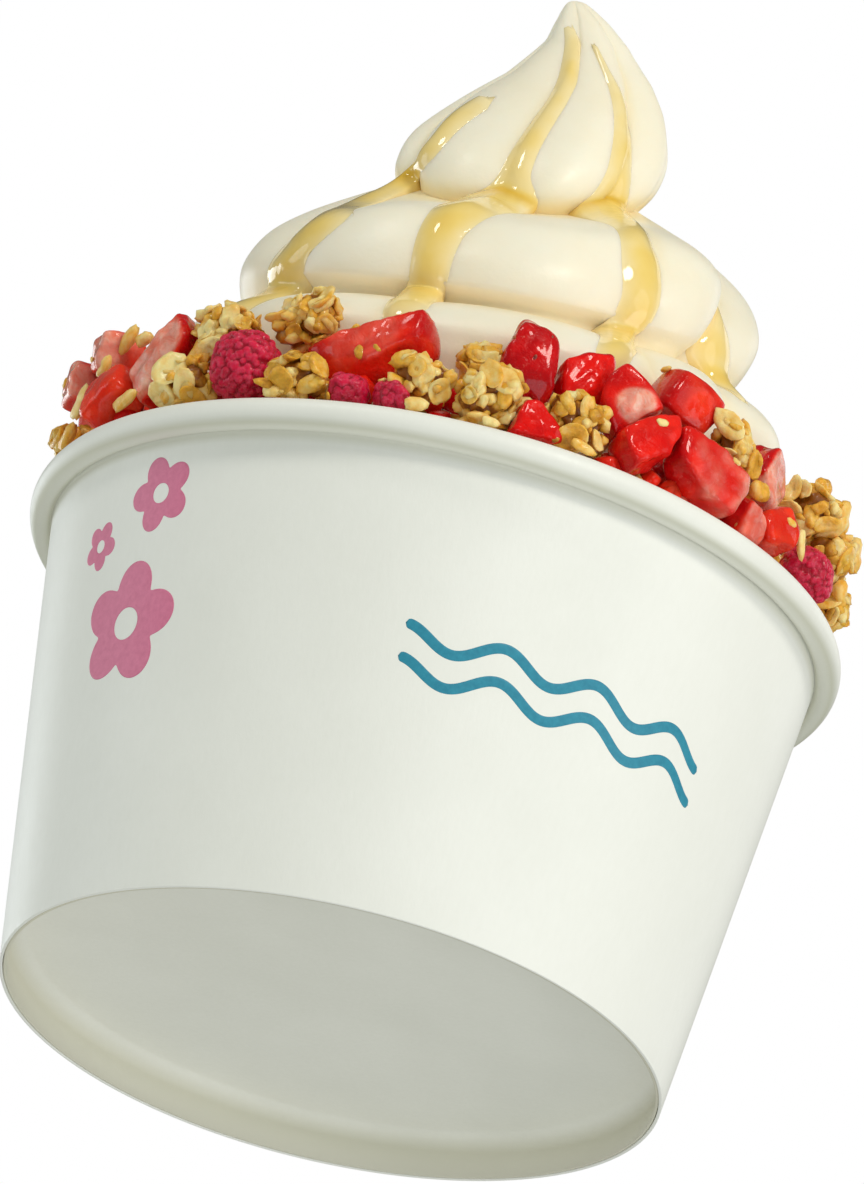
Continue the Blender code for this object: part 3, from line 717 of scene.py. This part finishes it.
def make_print():
    """A teal pair of waves in front, and pink blossoms at the left."""
    pink = ink_finish("print_ink_pink", (0.76, 0.21, 0.36), (0.68, 0.17, 0.30))
    teal = ink_finish("print_ink_teal", (0.03, 0.29, 0.42), (0.02, 0.23, 0.35))
    for name, values in WAVE_PRINTS.items():
        points = wave_points(*values)
        ends = points[0].mean(axis=0), points[-1].mean(axis=0)
        add_piece(name, *capped(points[1:-1], *ends), teal, "print_ink")
    for name, values in BLOSSOM_PRINTS.items():
        points = blossom_points(*values)
        faces = grid_faces(*points.shape[:2], wrap_rows=True)
        add_piece(name, points.reshape(-1, 3), faces, pink, "print_ink")


# ------------ frozen yogurt and honey

def swirl_outline():
    """Radius and height of the swirl from the fill's slope to the tip, smooth along each coil and
    creased where one coil meets the next."""
    coils = (*LOWER_COIL, LOWER_CREASE, *MIDDLE_COIL, UPPER_CREASE, *TOP_COIL, *TIP)
    points = (*FILL_OUTLINE, *coils)
    creases = [points.index(LOWER_CREASE), points.index(UPPER_CREASE)]
    return smooth_curve(points, SWIRL_PER_SPAN, creases)


def swirl_radius(heights):
    """Radius of that outline at each height."""
    outline = swirl_outline()
    return np.interp(heights, outline[:, 1], outline[:, 0])


def fill_outline():
    """Radius and height of the fill inside the cup, from its floor up to the shelf."""
    floor = FLOOR_UNDERSIDE + FLOOR_PLY + FILL_FLOOR_GAP
    low, high = ((wall_radius(z, WALL_PLY + FILL_CLEARANCE), z) for z in (floor, ROLL_BOTTOM))
    return straight((0, floor), low, 6) + [low] + straight(low, high, 8) + [high]


def groove_warp(turn, height):
    """Azimuth of each point, so that whole numbers of ribs fall on the named grooves: the lower
    ones blend into the upper ones between the creases, and on into the tip's."""
    lower, top, tip = (
        np.interp(turn, np.arange(RIBS + 1), [*grooves, grooves[0] + 360])
        for grooves in (LOWER_GROOVES, TOP_GROOVES, TIP_GROOVES)
    )
    azimuth = lower + (top - lower) * ease(height, LOWER_LEVEL, UPPER_LEVEL)
    return azimuth + (tip - top) * ease(height, UPPER_LEVEL, TIP_START)


def ribbed_radius(turn, radius, height, degrees):
    """Radius less RIB_DEPTH times (1 - |sin| of the half turn to a power) in a groove, plus a
    swollen rib's sine, less a shallow bell-shaped hollow under each soft lip."""
    share = np.interp(turn, np.arange(RIBS + 1), [*GROOVE_SHARES, GROOVE_SHARES[0]])
    full = ease(height, RIB_START, RIB_FULL) * np.minimum(radius / RIB_FULL_RADIUS, 1)
    wave = np.minimum(np.sqrt(np.sin(math.pi * turn) ** 2 + GROOVE_FLOOR), 1)
    swell = np.array(RIB_SWELLS)[np.floor(turn).astype(int) % RIBS] * wave**2
    between = np.clip((height - LOWER_LEVEL) / (UPPER_LEVEL - LOWER_LEVEL), 0, 1)
    ribbed = radius - RIB_DEPTH * share * full * (1 - wave**RIB_ROUNDNESS)
    ribbed = ribbed + swell * np.sin(math.pi * between)
    for lip_height, middle, half_angle, pressed in SOFT_LIPS:
        fade = 1 - ease(angle_away(degrees, middle), 0.4 * half_angle, half_angle)
        ribbed = ribbed - pressed * fade * bell(height - lip_height, SOFT_LIP_WIDTH)
    return ribbed


def shoulder_height(azimuth, height):
    """Heights raised by a sine where the middle coil rolls up into a shoulder at the front."""
    share = np.clip((height - SHOULDER_START) / (UPPER_LEVEL - SHOULDER_START), 0, 1)
    fade = 1 - ease(angle_away(azimuth, SHOULDER_AZIMUTH), *SHOULDER_ANGLES)
    return height + SHOULDER_RISE * np.sin(math.pi * share) * fade


def painted_crease_shade(turn, height):
    """How much painted shade each point gets in a crease or on a groove's floor, 0 to 1."""
    full = ease(height, RIB_START, RIB_FULL)
    full = full * (1 - ease(height, TIP_START, TIP[0][1]))
    tone = 0.35 * full * bell(np.abs(np.sin(math.pi * turn)), 0.28)
    for level, width, strength in CREASE_PAINTED_SHADES:
        tone = np.maximum(tone, strength * bell(height - level, width))
    return np.clip(tone, 0, 1)


def swirl_points(turn, radius, height):
    """Outline points placed round the swirl: ribbed and raised, with heights sheared so that the
    coils lean down at the front, and the centre line shifted to the hooked tip."""
    turn = np.mod(turn, RIBS)
    degrees = groove_warp(turn, height)
    azimuth = np.radians(degrees)
    ribbed = ribbed_radius(turn, radius, height, degrees)
    shift = np.interp(height, CENTRE_HEIGHTS, CENTRE_SHIFTS)
    shift = shift * ease(height, LOWER_LEVEL - SHIFT_EASE, LOWER_LEVEL)
    x, y = ribbed * np.sin(azimuth) + shift, -ribbed * np.cos(azimuth)
    free = ease(height, FILL_TOP, LOWER_LEVEL)
    levels = (LOWER_LEVEL, UPPER_LEVEL)
    front, side = (np.interp(height, levels, lean) * free for lean in (FRONT_LEAN, SIDE_LEAN))
    middle = (1 + BACK_LEAN_SHARE) / 2
    share = middle - (1 - middle) * np.tanh(y / LEAN_TURNOVER)
    raised = shoulder_height(degrees, height)
    return vectors(x, y, raised + front * share * y + side * x)


def make_yogurt():
    """Fill and swirl as one closed surface round the axis."""
    radius, height = np.concatenate([fill_outline(), swirl_outline()])[:-1].T[:, :, None]
    turn = RIBS * np.arange(SWIRL_AROUND)[None, :] / SWIRL_AROUND
    tip = swirl_points(np.array(0.5), np.array(0), np.array(TIP[-1][1]))
    points, faces = capped(swirl_points(turn, radius, height), (0, 0, height[0, 0]), tip)
    # The crease attribute carries the painted shade in the creases and on the groove floors.
    crease = np.append(painted_crease_shade(turn, height).ravel(), [0, 0])
    finish = yogurt_finish()
    add_piece(
        "yogurt_swirl", points, faces, finish, "frozen_yogurt", ("frozen_yogurt",), crease=crease
    )


def surface_normals(turn, levels):
    """Outward unit normals of the swirl: the cross product of small steps round and up it."""
    step_turn, step_level = 0.02, 0.3
    here = swirl_points(turn, swirl_radius(levels), levels)
    beside = swirl_points(turn + step_turn, swirl_radius(levels), levels)
    above = swirl_points(turn, swirl_radius(levels + step_level), levels + step_level)
    return unit(np.cross(beside - here, above - here))


def stream_points(groove, rows, phase):
    """A honey stream: a strip of the swirl's own surface along a groove, smoothed along its length
    to bridge the creases, bridged straight across the groove, and raised by a crown that swells
    and thins as it runs. The lower half of its section is sunk in the yogurt. Returns the points
    and how deep the honey looks at each."""
    heights, *sides = np.array(rows)[::-1].T
    levels = np.linspace(heights[-1], heights[0], HONEY_LEVELS)
    left, right, crown = (np.interp(levels, heights, side) for side in sides)
    crown = crown * (1 + HONEY_WAVINESS * np.sin(levels * 0.9 + phase) * np.sin(levels * 0.37))
    around = math.tau * np.arange(HONEY_AROUND) / HONEY_AROUND
    across, up = np.cos(around)[None, :], np.sin(around)[None, :]
    upper = np.maximum(up, 0)
    spread = np.maximum(swirl_radius(levels), 3) * math.radians(360 / RIBS)
    offset = (left + right)[:, None] / 2 + across * (right - left)[:, None] / 2
    turn = groove + offset / spread[:, None]
    tall = np.broadcast_to(levels[:, None], turn.shape)
    surface = swirl_points(turn, swirl_radius(tall), tall)

    def eased_over(reach, values):
        kernel = bell(levels[:, None] - levels[None, :], reach)
        return np.einsum("ij,jkl->ikl", kernel / kernel.sum(axis=1, keepdims=True), values)

    def height_over(places, directions):
        return ((places - surface) * directions).sum(axis=-1)

    normal = unit(eased_over(HONEY_EASE, surface_normals(turn, tall)))
    normal = unit(normal + 2 * unit(normal.mean(axis=1, keepdims=True)))
    rise = np.interp(levels, *zip(*HONEY_LIFT_RISE))[:, None]
    lifting = unit(round_axis(1, np.radians(groove_warp(turn, tall)), rise))
    first, last = surface[:, across.argmin()][:, None], surface[:, across.argmax()][:, None]
    bridge = first + (last - first) * (across[..., None] + 1) / 2
    over = height_over(eased_over(HONEY_EASE, surface), lifting)
    lift = np.maximum(np.maximum(over, 0.9 * height_over(bridge, lifting)), 0) * upper**0.5
    bulge = crown[:, None] * np.where(up > 0, upper**HONEY_SECTION, -1.1 * np.abs(up))
    run = surface + lift[..., None] * lifting + bulge[..., None] * normal
    run = np.where(up[..., None] > 0, eased_over(HONEY_FLOW, run), run)
    buried = np.maximum(0.3 * bulge - height_over(run, normal), 0)
    run = run + np.where(up > 0, buried, 0)[..., None] * normal
    pool = sum(share * bell(levels - level, width) for level, width, share in HONEY_POOLS)
    thick = upper**1.5 * ease(crown, 0.2, 1.3)[:, None]
    return run, 0.55 * thick + 0.6 * pool[:, None]


def make_honey():
    """One closed piece for each stream."""
    honey = honey_finish()
    for phase, (name, (groove, rows)) in enumerate(HONEY_STREAMS.items()):
        points, depth = stream_points(groove, rows, phase)
        points, faces = capped(points, points[0].mean(axis=0), points[-1].mean(axis=0))
        depth = np.append(depth.ravel(), depth[[0, -1], 0])
        add_piece(name, points, flip(faces), honey, "honey", depth=depth)


# ------------ toppings

class Bounds:
    """The flat faces that bound one topping's solid, seen from its middle, in millimetres."""

    def __init__(self, node, sharpness):
        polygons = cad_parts[node].data.polygons
        normals, centres = np.empty((2, len(polygons) * 3))
        polygons.foreach_get("normal", normals)
        polygons.foreach_get("center", centres)
        normals, centres = normals.reshape(-1, 3), centres.reshape(-1, 3) / MM
        low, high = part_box(node)
        self.centre = np.array(low + high) / 2 / MM
        self.size = np.array(high - low) / MM
        distances = ((centres - self.centre) * normals).sum(axis=1)
        rounded = np.round(np.column_stack([normals * 10, distances * 2]))
        first = np.unique(rounded, axis=0, return_index=True)[1]
        first = first[distances[first] > 0.5]
        self.normals, self.distances = normals[first], distances[first]
        self.sharpness, self.scale = sharpness, 1
        around = ball_directions(20, 30)
        flat = 1 / np.max(self.facing(around), axis=1)
        self.scale = float(np.mean(flat / self.reach(around)))

    def area(self):
        """The mean area of the sides of the topping's box."""
        return self.size.prod() ** (2 / 3)

    def facing(self, directions):
        """How squarely each direction meets each flat face, over that face's distance."""
        return np.maximum(directions @ self.normals.T, 0) / self.distances

    def reach(self, directions):
        """Distance from the middle to the rounded surface along unit directions: the p-norm of
        facing over all flat faces, turned over."""
        power = self.facing(directions) ** self.sharpness
        return self.scale * np.sum(power, axis=-1) ** (-1 / self.sharpness)

    def places(self, directions, share=1):
        """Points along the directions, at a share of the way out to the rounded surface."""
        return self.centre + directions * (self.reach(directions) * share)[:, None]

    def sharing(self, directions):
        """How many faces share each direction: 1 on a face, 2 on the edge between two faces."""
        facing = self.facing(directions)
        power = (facing / facing.max(axis=-1, keepdims=True)) ** EDGE_POWER
        return power.sum(axis=-1) ** 2 / (power**2).sum(axis=-1)

    def outward(self, directions):
        """Unit normals of that rounded surface: face normals over distance, weighted by facing
        to the power p - 1."""
        weights = self.facing(directions) ** (self.sharpness - 1)
        return unit(weights @ (self.normals / self.distances[:, None]))


def looking(azimuth, elevation):
    """Unit direction from azimuth and elevation in degrees."""
    azimuth, elevation = np.radians([azimuth, elevation])
    return round_axis(np.cos(elevation), azimuth, np.sin(elevation))


def spiral_directions(count, turn=0):
    """Directions spread evenly over a ball along a golden-angle spiral."""
    index = np.arange(count) + 0.5
    z = 1 - 2 * index / count
    angle = index * math.pi * (3 - math.sqrt(5)) + turn
    flat = np.sqrt(1 - z * z)
    return vectors(flat * np.cos(angle), flat * np.sin(angle), z)


def jittered(directions, amount, draw):
    """The directions knocked off course at random."""
    return unit(directions + amount * draw.normal(size=directions.shape))


def frames_from(normals, draw, most=math.tau):
    """Rows of three axes for each normal: two in the surface, spun at random, and the normal."""
    spins = draw.uniform(0, most, len(normals))
    helper = np.where(np.abs(normals[:, 2:]) < 0.9, [[0, 0, 1]], [[1, 0, 0]])
    a = unit(np.cross(helper, normals))
    b = np.cross(normals, a)
    c, s = np.cos(spins)[:, None], np.sin(spins)[:, None]
    return np.stack([a * c + b * s, b * c - a * s, normals], axis=1)


def scattered(shape, centres, frames, sizes):
    """Copies of a small shape, each scaled, turned and placed, as one set of points and faces."""
    template, faces = shape
    points = np.einsum("nvk,nkd->nvd", template[None, :, :] * sizes[:, None, :], frames)
    points = centres[:, None, :] + points
    shift = np.arange(len(centres))[:, None, None] * len(template)
    corners = np.array([face if len(face) == 4 else [*face, -1] for face in faces])
    placed = np.where(corners[None] >= 0, corners[None] + shift, -1).reshape(-1, 4)
    return points.reshape(-1, 3), [[i for i in face if i >= 0] for face in placed.tolist()]


def toned(shape, centres, frames, sizes, draw, low, high=1):
    """Scattered copies of a shape, and a tone drawn for each copy."""
    tones = np.repeat(draw.uniform(low, high, len(centres)), len(shape[0]))
    return *scattered(shape, centres, frames, sizes), tones


def kept_in_place(points):
    """Points moved in from past the rim, and up from inside it where they lie on it."""
    distance = np.hypot(points[:, 0], points[:, 1])
    points = points * np.minimum(1, TOPPING_REACH / distance)[:, None] ** FLAT
    over_rim = distance > RIM_RADIUS - 2 * ROLL_HALF_WIDTH - 0.5
    points[:, 2] = np.where(over_rim, np.maximum(points[:, 2], TOPPING_FLOOR), points[:, 2])
    return points


def strawberry_shape(node, index):
    """A diced strawberry piece: rounded flat faces, a dimple round each seed on the skin side, and
    shallow unevenness. Returns points, attributes, and the seeds' places and normals."""
    directions = ball_directions(*STRAWBERRY_GRID)
    phase = DEFAULT_CUT_STEP * index
    default = (
        math.degrees(phase) % 360, 40 * math.sin(2 * phase), DEFAULT_PALE,
        0.5 + 0.5 * math.sin(3 * phase), DEFAULT_SHARPNESS, 0,
    )
    look = PIECE_LOOKS[index] if index < len(PIECE_LOOKS) else default
    azimuth, elevation, paleness, orange, sharpness, narrower = look
    bounds = Bounds(node, sharpness)
    cut = looking(azimuth, elevation)
    normals = bounds.outward(directions)
    toward = normals @ cut
    points = bounds.places(directions)
    broad = ripples(points, 5, index)
    uneven = 0.24 * broad + 0.1 * ripples(points, 2.2, index + 50)
    seeds = spiral_directions(SEEDS_EACH, phase)
    seeds = seeds[(bounds.outward(seeds) @ cut) < -0.05]
    if len(seeds):
        nearest = np.arccos(np.clip((directions @ seeds.T).max(axis=1), -1, 1))
        uneven = uneven - 0.28 * bell(nearest * bounds.reach(directions), 0.7)
    attributes = {
        "flesh": ease(toward + 0.12 * broad, -0.15, 0.2),
        "pale": ease(toward + 0.15 * broad, 0.15, 0.7) * paleness,
        "orange": np.full(len(points), orange),
        # Painted shade along the edges between faces.
        "edge": ease(bounds.sharing(directions), 1.7, 2.8),
    }

    def narrowed(places):
        share = np.clip((places[:, 2] - bounds.centre[2]) / (0.5 * bounds.size[2]) + 0.4, 0, 1.4)
        taper = (1 - narrower * share / 1.4)[:, None] ** FLAT
        return bounds.centre + (places - bounds.centre) * taper

    points = narrowed(kept_in_place(points + normals * uneven[:, None]))
    return points, attributes, narrowed(bounds.places(seeds)), bounds.outward(seeds)


def make_strawberries(names, finish):
    """Every strawberry piece, and the seeds of all of them as one piece."""
    faces, seeds = capped_faces(*STRAWBERRY_GRID), []
    for index, node in enumerate(names):
        points, attributes, *spots = strawberry_shape(node, index)
        name = node.replace("strawberry", "strawberry_piece")
        add_piece(name, points, faces, finish, "strawberry", (node,), **attributes)
        seeds.append(spots)
    places, normals = (np.concatenate(part) for part in zip(*seeds))
    draw = np.random.default_rng(SEED_DRAW)
    frames = frames_from(normals, draw)
    sizes = np.array([[0.5, 0.3, 0.2]]) * draw.uniform(0.75, 1.15, (len(places), 1))
    shape = ball_directions(*SEED_GRID), capped_faces(*SEED_GRID)
    points, faces = scattered(shape, places - 0.18 * normals, frames, sizes)
    add_piece("strawberry_seeds", points, faces, seed_finish(), "strawberry")


def make_raspberries(names):
    """Each raspberry is a lump of drupelets: domes at scattered centres, with clefts where two
    meet."""
    finish = raspberry_finish()
    directions, faces = ball_directions(*RASPBERRY_GRID), capped_faces(*RASPBERRY_GRID)
    for index, node in enumerate(names):
        bounds = Bounds(node, ROUND_SHARPNESS)
        draw = np.random.default_rng(index)
        count = int(np.clip(bounds.area() * DRUPELETS_PER_AREA, *DRUPELET_COUNTS))
        centres = jittered(spiral_directions(count, 1.7 * index), 0.07, draw)
        spread = math.sqrt(4 * math.pi / count) * 0.62 * draw.uniform(0.85, 1.15, count)
        angle = np.arccos(np.clip(directions @ centres.T, -1, 1)) / spread
        dome = np.sqrt(np.maximum(1 - angle.min(axis=1) ** 2 * 0.85, 0.02))
        share = 0.91 + 0.09 * dome + 0.05 * ripples(directions, 0.9, index)
        points = kept_in_place(bounds.places(directions, share))
        # The dome attribute carries the painted shade in the clefts.
        name, dome = node.replace("raspberry", "raspberry_fruit"), ease(dome, 0.25, 0.85)
        add_piece(name, points, faces, finish, "raspberry", (node,), dome=dome)


def flake_shape():
    """A rolled oat: a flat oval, thin at its edge, with a crease along the middle and a bend."""
    flat = ball_directions(*FLAKE_GRID)[:, [0, 2, 1]]
    x, y, z = flat.T
    crease = -0.5 * bell(y, 0.22) * (1 - x * x)
    lift = 0.9 * x * x + 0.3 * y * y + 0.12 * ripples(flat, 1.1, 4)
    return vectors(x, y, z * 0.8 + crease + lift), flip(capped_faces(*FLAKE_GRID))


def grain_shape():
    """A puffed grain: a ball whose surface swells and dents, pinched round its middle."""
    ball = ball_directions(*GRAIN_GRID)
    swollen = 1 + 0.2 * ripples(ball, 1.5, 5) + 0.08 * ripples(ball, 0.7, 6)
    return ball * (swollen - 0.1 * bell(ball[:, 0], 0.3))[:, None], capped_faces(*GRAIN_GRID)


def dice_shape():
    """A small cut bit of fruit: a ball pushed out towards a cube's faces, a little uneven."""
    ball = ball_directions(*GRAIN_GRID)
    boxy = ball / (np.sum(np.abs(ball) ** 5, axis=1) ** 0.2)[:, None]
    return boxy * (1 + 0.12 * ripples(ball, 1.3, 8))[:, None], capped_faces(*GRAIN_GRID)


def add_oats(name, finish, points, faces, shade, replaced=()):
    """Add one piece of granola, kept in place."""
    add_piece(name, kept_in_place(points), faces, finish, "granola", replaced, shade=shade)


def granola_shape(node, index, shapes):
    """A granola cluster: a lumpy core crowded with puffed grains and toasted oat flakes. The
    shade of each point is a random toast tone, lowered by painted shade towards the core, where the
    creases are."""
    bounds = Bounds(node, ROUND_SHARPNESS)
    draw = np.random.default_rng(200 + index)
    directions = ball_directions(*CORE_GRID)
    lobes = np.abs(ripples(directions, 1, 300 + index)) ** 0.7
    core = bounds.places(directions, 0.7 + 0.16 * lobes)
    points, faces, shade = [core], capped_faces(*CORE_GRID), [np.full(len(core), 0.42)]
    for shape, (share, fewest, most, depth, size, scatter) in zip(shapes, CLUSTER_KINDS):
        count = int(np.clip(bounds.area() * share, fewest, most))
        spots = jittered(spiral_directions(count, 2.3 * index), 0.25, draw)
        normals = jittered(bounds.outward(spots), scatter, draw)
        sizes = draw.uniform(0.65, 1.2, (count, 1)) * np.array([size])
        sizes = sizes * draw.uniform(0.8, 1.2, (count, 3))
        places = bounds.places(spots, depth * draw.uniform(0.88, 1.06, count))
        frames = frames_from(normals, draw)
        placed, placed_faces, tones = toned(shape, places, frames, sizes, draw, 0.5)
        start = sum(len(part) for part in points)
        faces += [[i + start for i in face] for face in placed_faces]
        points.append(placed)
        shade.append(tones)
    points, shade = np.concatenate(points), np.concatenate(shade)
    away = points - bounds.centre
    rough = 0.22 * ripples(points, 1.5, 500 + index) + 0.3 * ripples(points, 3.4, 600 + index)
    height = np.linalg.norm(away, axis=1) / bounds.reach(unit(away))
    # Painted shade: darker towards the core, in the creases.
    shade = shade - 0.6 * (1 - ease(height, 0.66, 0.95))
    return points + unit(away) * rough[:, None], faces, shade


def make_granola(names, finish):
    """Every granola cluster."""
    shapes = grain_shape(), flake_shape()
    for index, node in enumerate(names):
        name = node.replace("granola", "granola_cluster")
        add_oats(name, finish, *granola_shape(node, index, shapes), (node,))


def make_loose_oats(finish):
    """Single oat flakes that lie on the rim and on the toppings."""
    azimuth, radius, height, *sizes, lean = np.array(LOOSE_OATS).T
    azimuth, lean = np.radians(azimuth), np.radians(lean)
    flat = np.cos(lean)
    length = vectors(np.cos(azimuth) * flat, np.sin(azimuth) * flat, np.sin(lean))
    outward = round_axis(1, azimuth, 0)
    frames = np.stack([length, np.cross(outward, length), outward], axis=1)
    places, sizes = round_axis(radius, azimuth, height), vectors(*sizes) / 2
    draw = np.random.default_rng(FLAKE_DRAW)
    add_oats("granola_flakes", finish, *toned(grain_shape(), places, frames, sizes, draw, 0.6))


def make_bits(berry, oats):
    """Bits of fruit and oat stuck to the yogurt's slope behind and between the toppings."""
    draw = np.random.default_rng(BIT_DRAW)
    level = draw.uniform(*BIT_LEVELS, BIT_COUNT)
    turn = draw.uniform(0, RIBS, BIT_COUNT)
    normals = surface_normals(turn, level)
    places = swirl_points(turn, swirl_radius(level), level)
    places = places + normals * draw.uniform(0.3, 1.8, (BIT_COUNT, 1))
    frames = frames_from(jittered(normals, 0.5, draw), draw, FULL_SPIN)
    sizes = draw.uniform(0.7, 1.25, (BIT_COUNT, 3)) * draw.uniform(0.8, 1.3, (BIT_COUNT, 1))
    fruit = draw.uniform(size=BIT_COUNT) < FRUIT_SHARE

    def bits(kept, shape, scale):
        return toned(shape, places[kept], frames[kept], sizes[kept] * scale, draw, 0)

    points, faces, tone = bits(fruit, dice_shape(), (1.9, 1.5, 1.3))
    add_piece(
        "strawberry_bits", kept_in_place(points), faces, berry, "strawberry",
        flesh=ease(tone, 0.2, 0.5), pale=0.5 * ease(tone, 0.7, 1),
        orange=tone, edge=np.zeros(len(points)),
    )
    points, faces, tone = bits(~fruit, grain_shape(), (1.7, 1.2, 1))
    add_oats("granola_bits", oats, points, faces, 0.45 + 0.5 * tone)


def make_crumbs(names, finish):
    """Granola crumbs: small lumpy grains that sit on the upper and outer faces of the toppings."""
    draw = np.random.default_rng(CRUMB_DRAW)
    places, normals = [], []
    for node in names:
        bounds = Bounds(node, 10)
        outward = unit(bounds.centre * FLAT) * 0.4
        spots = unit(draw.normal(size=(CRUMB_TRIES, 3)) + outward + [0, 0, 0.4])
        spots = spots[draw.uniform(size=CRUMB_TRIES) < CRUMB_SHARE]
        places.append(bounds.places(spots))
        normals.append(bounds.outward(spots))
    frames = frames_from(np.concatenate(normals), draw)
    sizes = draw.uniform(0.35, 0.9, (len(frames), 1)) * np.array([[1.25, 0.9, 0.6]])
    places = np.concatenate(places)
    add_oats("granola_crumbs", finish, *toned(grain_shape(), places, frames, sizes, draw, 0.4))


# ------------ camera, floor and light

def make_camera():
    """A long lens looking up at the cup from below its foot, rolled to the side."""
    data = bpy.data.cameras.new("camera")
    data.lens, data.sensor_width, data.sensor_fit = CAMERA_LENS, CAMERA_SENSOR, "AUTO"
    data.clip_end = 100
    camera = add_object("camera", data)
    matrix = Matrix((CAMERA_RIGHT, CAMERA_UP, -CAMERA_FORWARD)).transposed().to_4x4()
    matrix.translation = CAMERA_PLACE
    camera.matrix_world = matrix
    bpy.context.scene.camera = camera


def make_floor():
    """A plain pale floor under the foot, fading into the white backdrop all round. From below it
    is clear, as a sheet of glass would be, so the cup shows from underneath."""
    mesh = bpy.data.meshes.new("floor")
    ring = ((-1, -1), (1, -1), (1, 1), (-1, 1))
    corners = [(x * FLOOR_SIZE, y * FLOOR_SIZE, FLOOR_DROP) for x, y in ring]
    mesh.from_pydata(corners, [], [(0, 1, 2, 3)])
    finish = Finish("floor_pale", 0.7, Base_Color=(0.88, 0.88, 0.87, 1))
    distance = finish.node("VectorMath", {0: finish.place}, "Value", operation="LENGTH")
    below = finish.node("NewGeometry", {}, "Backfacing")
    clear = finish.math("MAXIMUM", below, finish.span(distance, *FLOOR_FADE))
    glass = finish.node("BsdfTransparent", {})
    surface = finish.node("MixShader", {0: clear, 1: finish.shader.outputs[0], 2: glass})
    finish.tree.links.new(surface, finish.tree.nodes["Material Output"].inputs["Surface"])
    mesh.materials.append(finish.material)
    floor = add_object("floor", mesh)
    floor.visible_diffuse = floor.visible_glossy = floor.visible_transmission = False
    floor.visible_volume_scatter = floor.visible_shadow = False


def make_lights():
    """Soft discs of light round the cup, also from below."""
    aim = Vector((0, 0, LIGHT_AIM))
    for name, (azimuth, elevation, distance, size, watts, colour) in LIGHTS.items():
        data = bpy.data.lights.new(name, "AREA")
        data.shape, data.size, data.energy, data.color = "DISK", size, watts, colour
        light = add_object(name, data)
        light.location = aim + Vector(looking(azimuth, elevation)) * distance
        light.rotation_mode = "QUATERNION"
        light.rotation_quaternion = (aim - light.location).to_track_quat("-Z", "Y")


def make_room():
    """A dim even room, dimmer still in reflections, with a white backdrop."""
    world = bpy.data.worlds.new("room")
    world.use_nodes = True
    tree = world.node_tree
    rays = tree.nodes.new("ShaderNodeLightPath").outputs
    room, reflected = (
        add_node(tree, "Background", {"Color": ROOM_COLOUR, "Strength": strength})
        for strength in (ROOM, REFLECTED_ROOM)
    )
    backdrop = tree.nodes["Background"]
    backdrop.inputs["Color"].default_value = (1, 1, 1, 1)
    lit = add_node(tree, "MixShader", {0: rays["Is Glossy Ray"], 1: room, 2: reflected})
    shown = {0: rays["Is Camera Ray"], 1: lit, 2: backdrop.outputs[0]}
    surface = add_node(tree, "MixShader", shown)
    tree.links.new(surface, tree.nodes["World Output"].inputs["Surface"])
    bpy.context.scene.world = world
    bpy.context.scene.view_settings.view_transform = "Standard"


def main():
    """Build the stage and every piece of the cup."""
    make_camera()
    make_floor()
    make_lights()
    make_room()
    make_cup()
    make_print()
    make_yogurt()
    make_honey()
    strawberries, raspberries, clusters = (
        sorted(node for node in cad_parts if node.startswith(kind))
        for kind in ("strawberry", "raspberry", "granola")
    )
    berry, oats = strawberry_finish(), granola_finish()
    make_strawberries(strawberries, berry)
    make_raspberries(raspberries)
    make_granola(clusters, oats)
    make_loose_oats(oats)
    make_bits(berry, oats)
    make_crumbs(strawberries + raspberries + clusters, oats)


main()
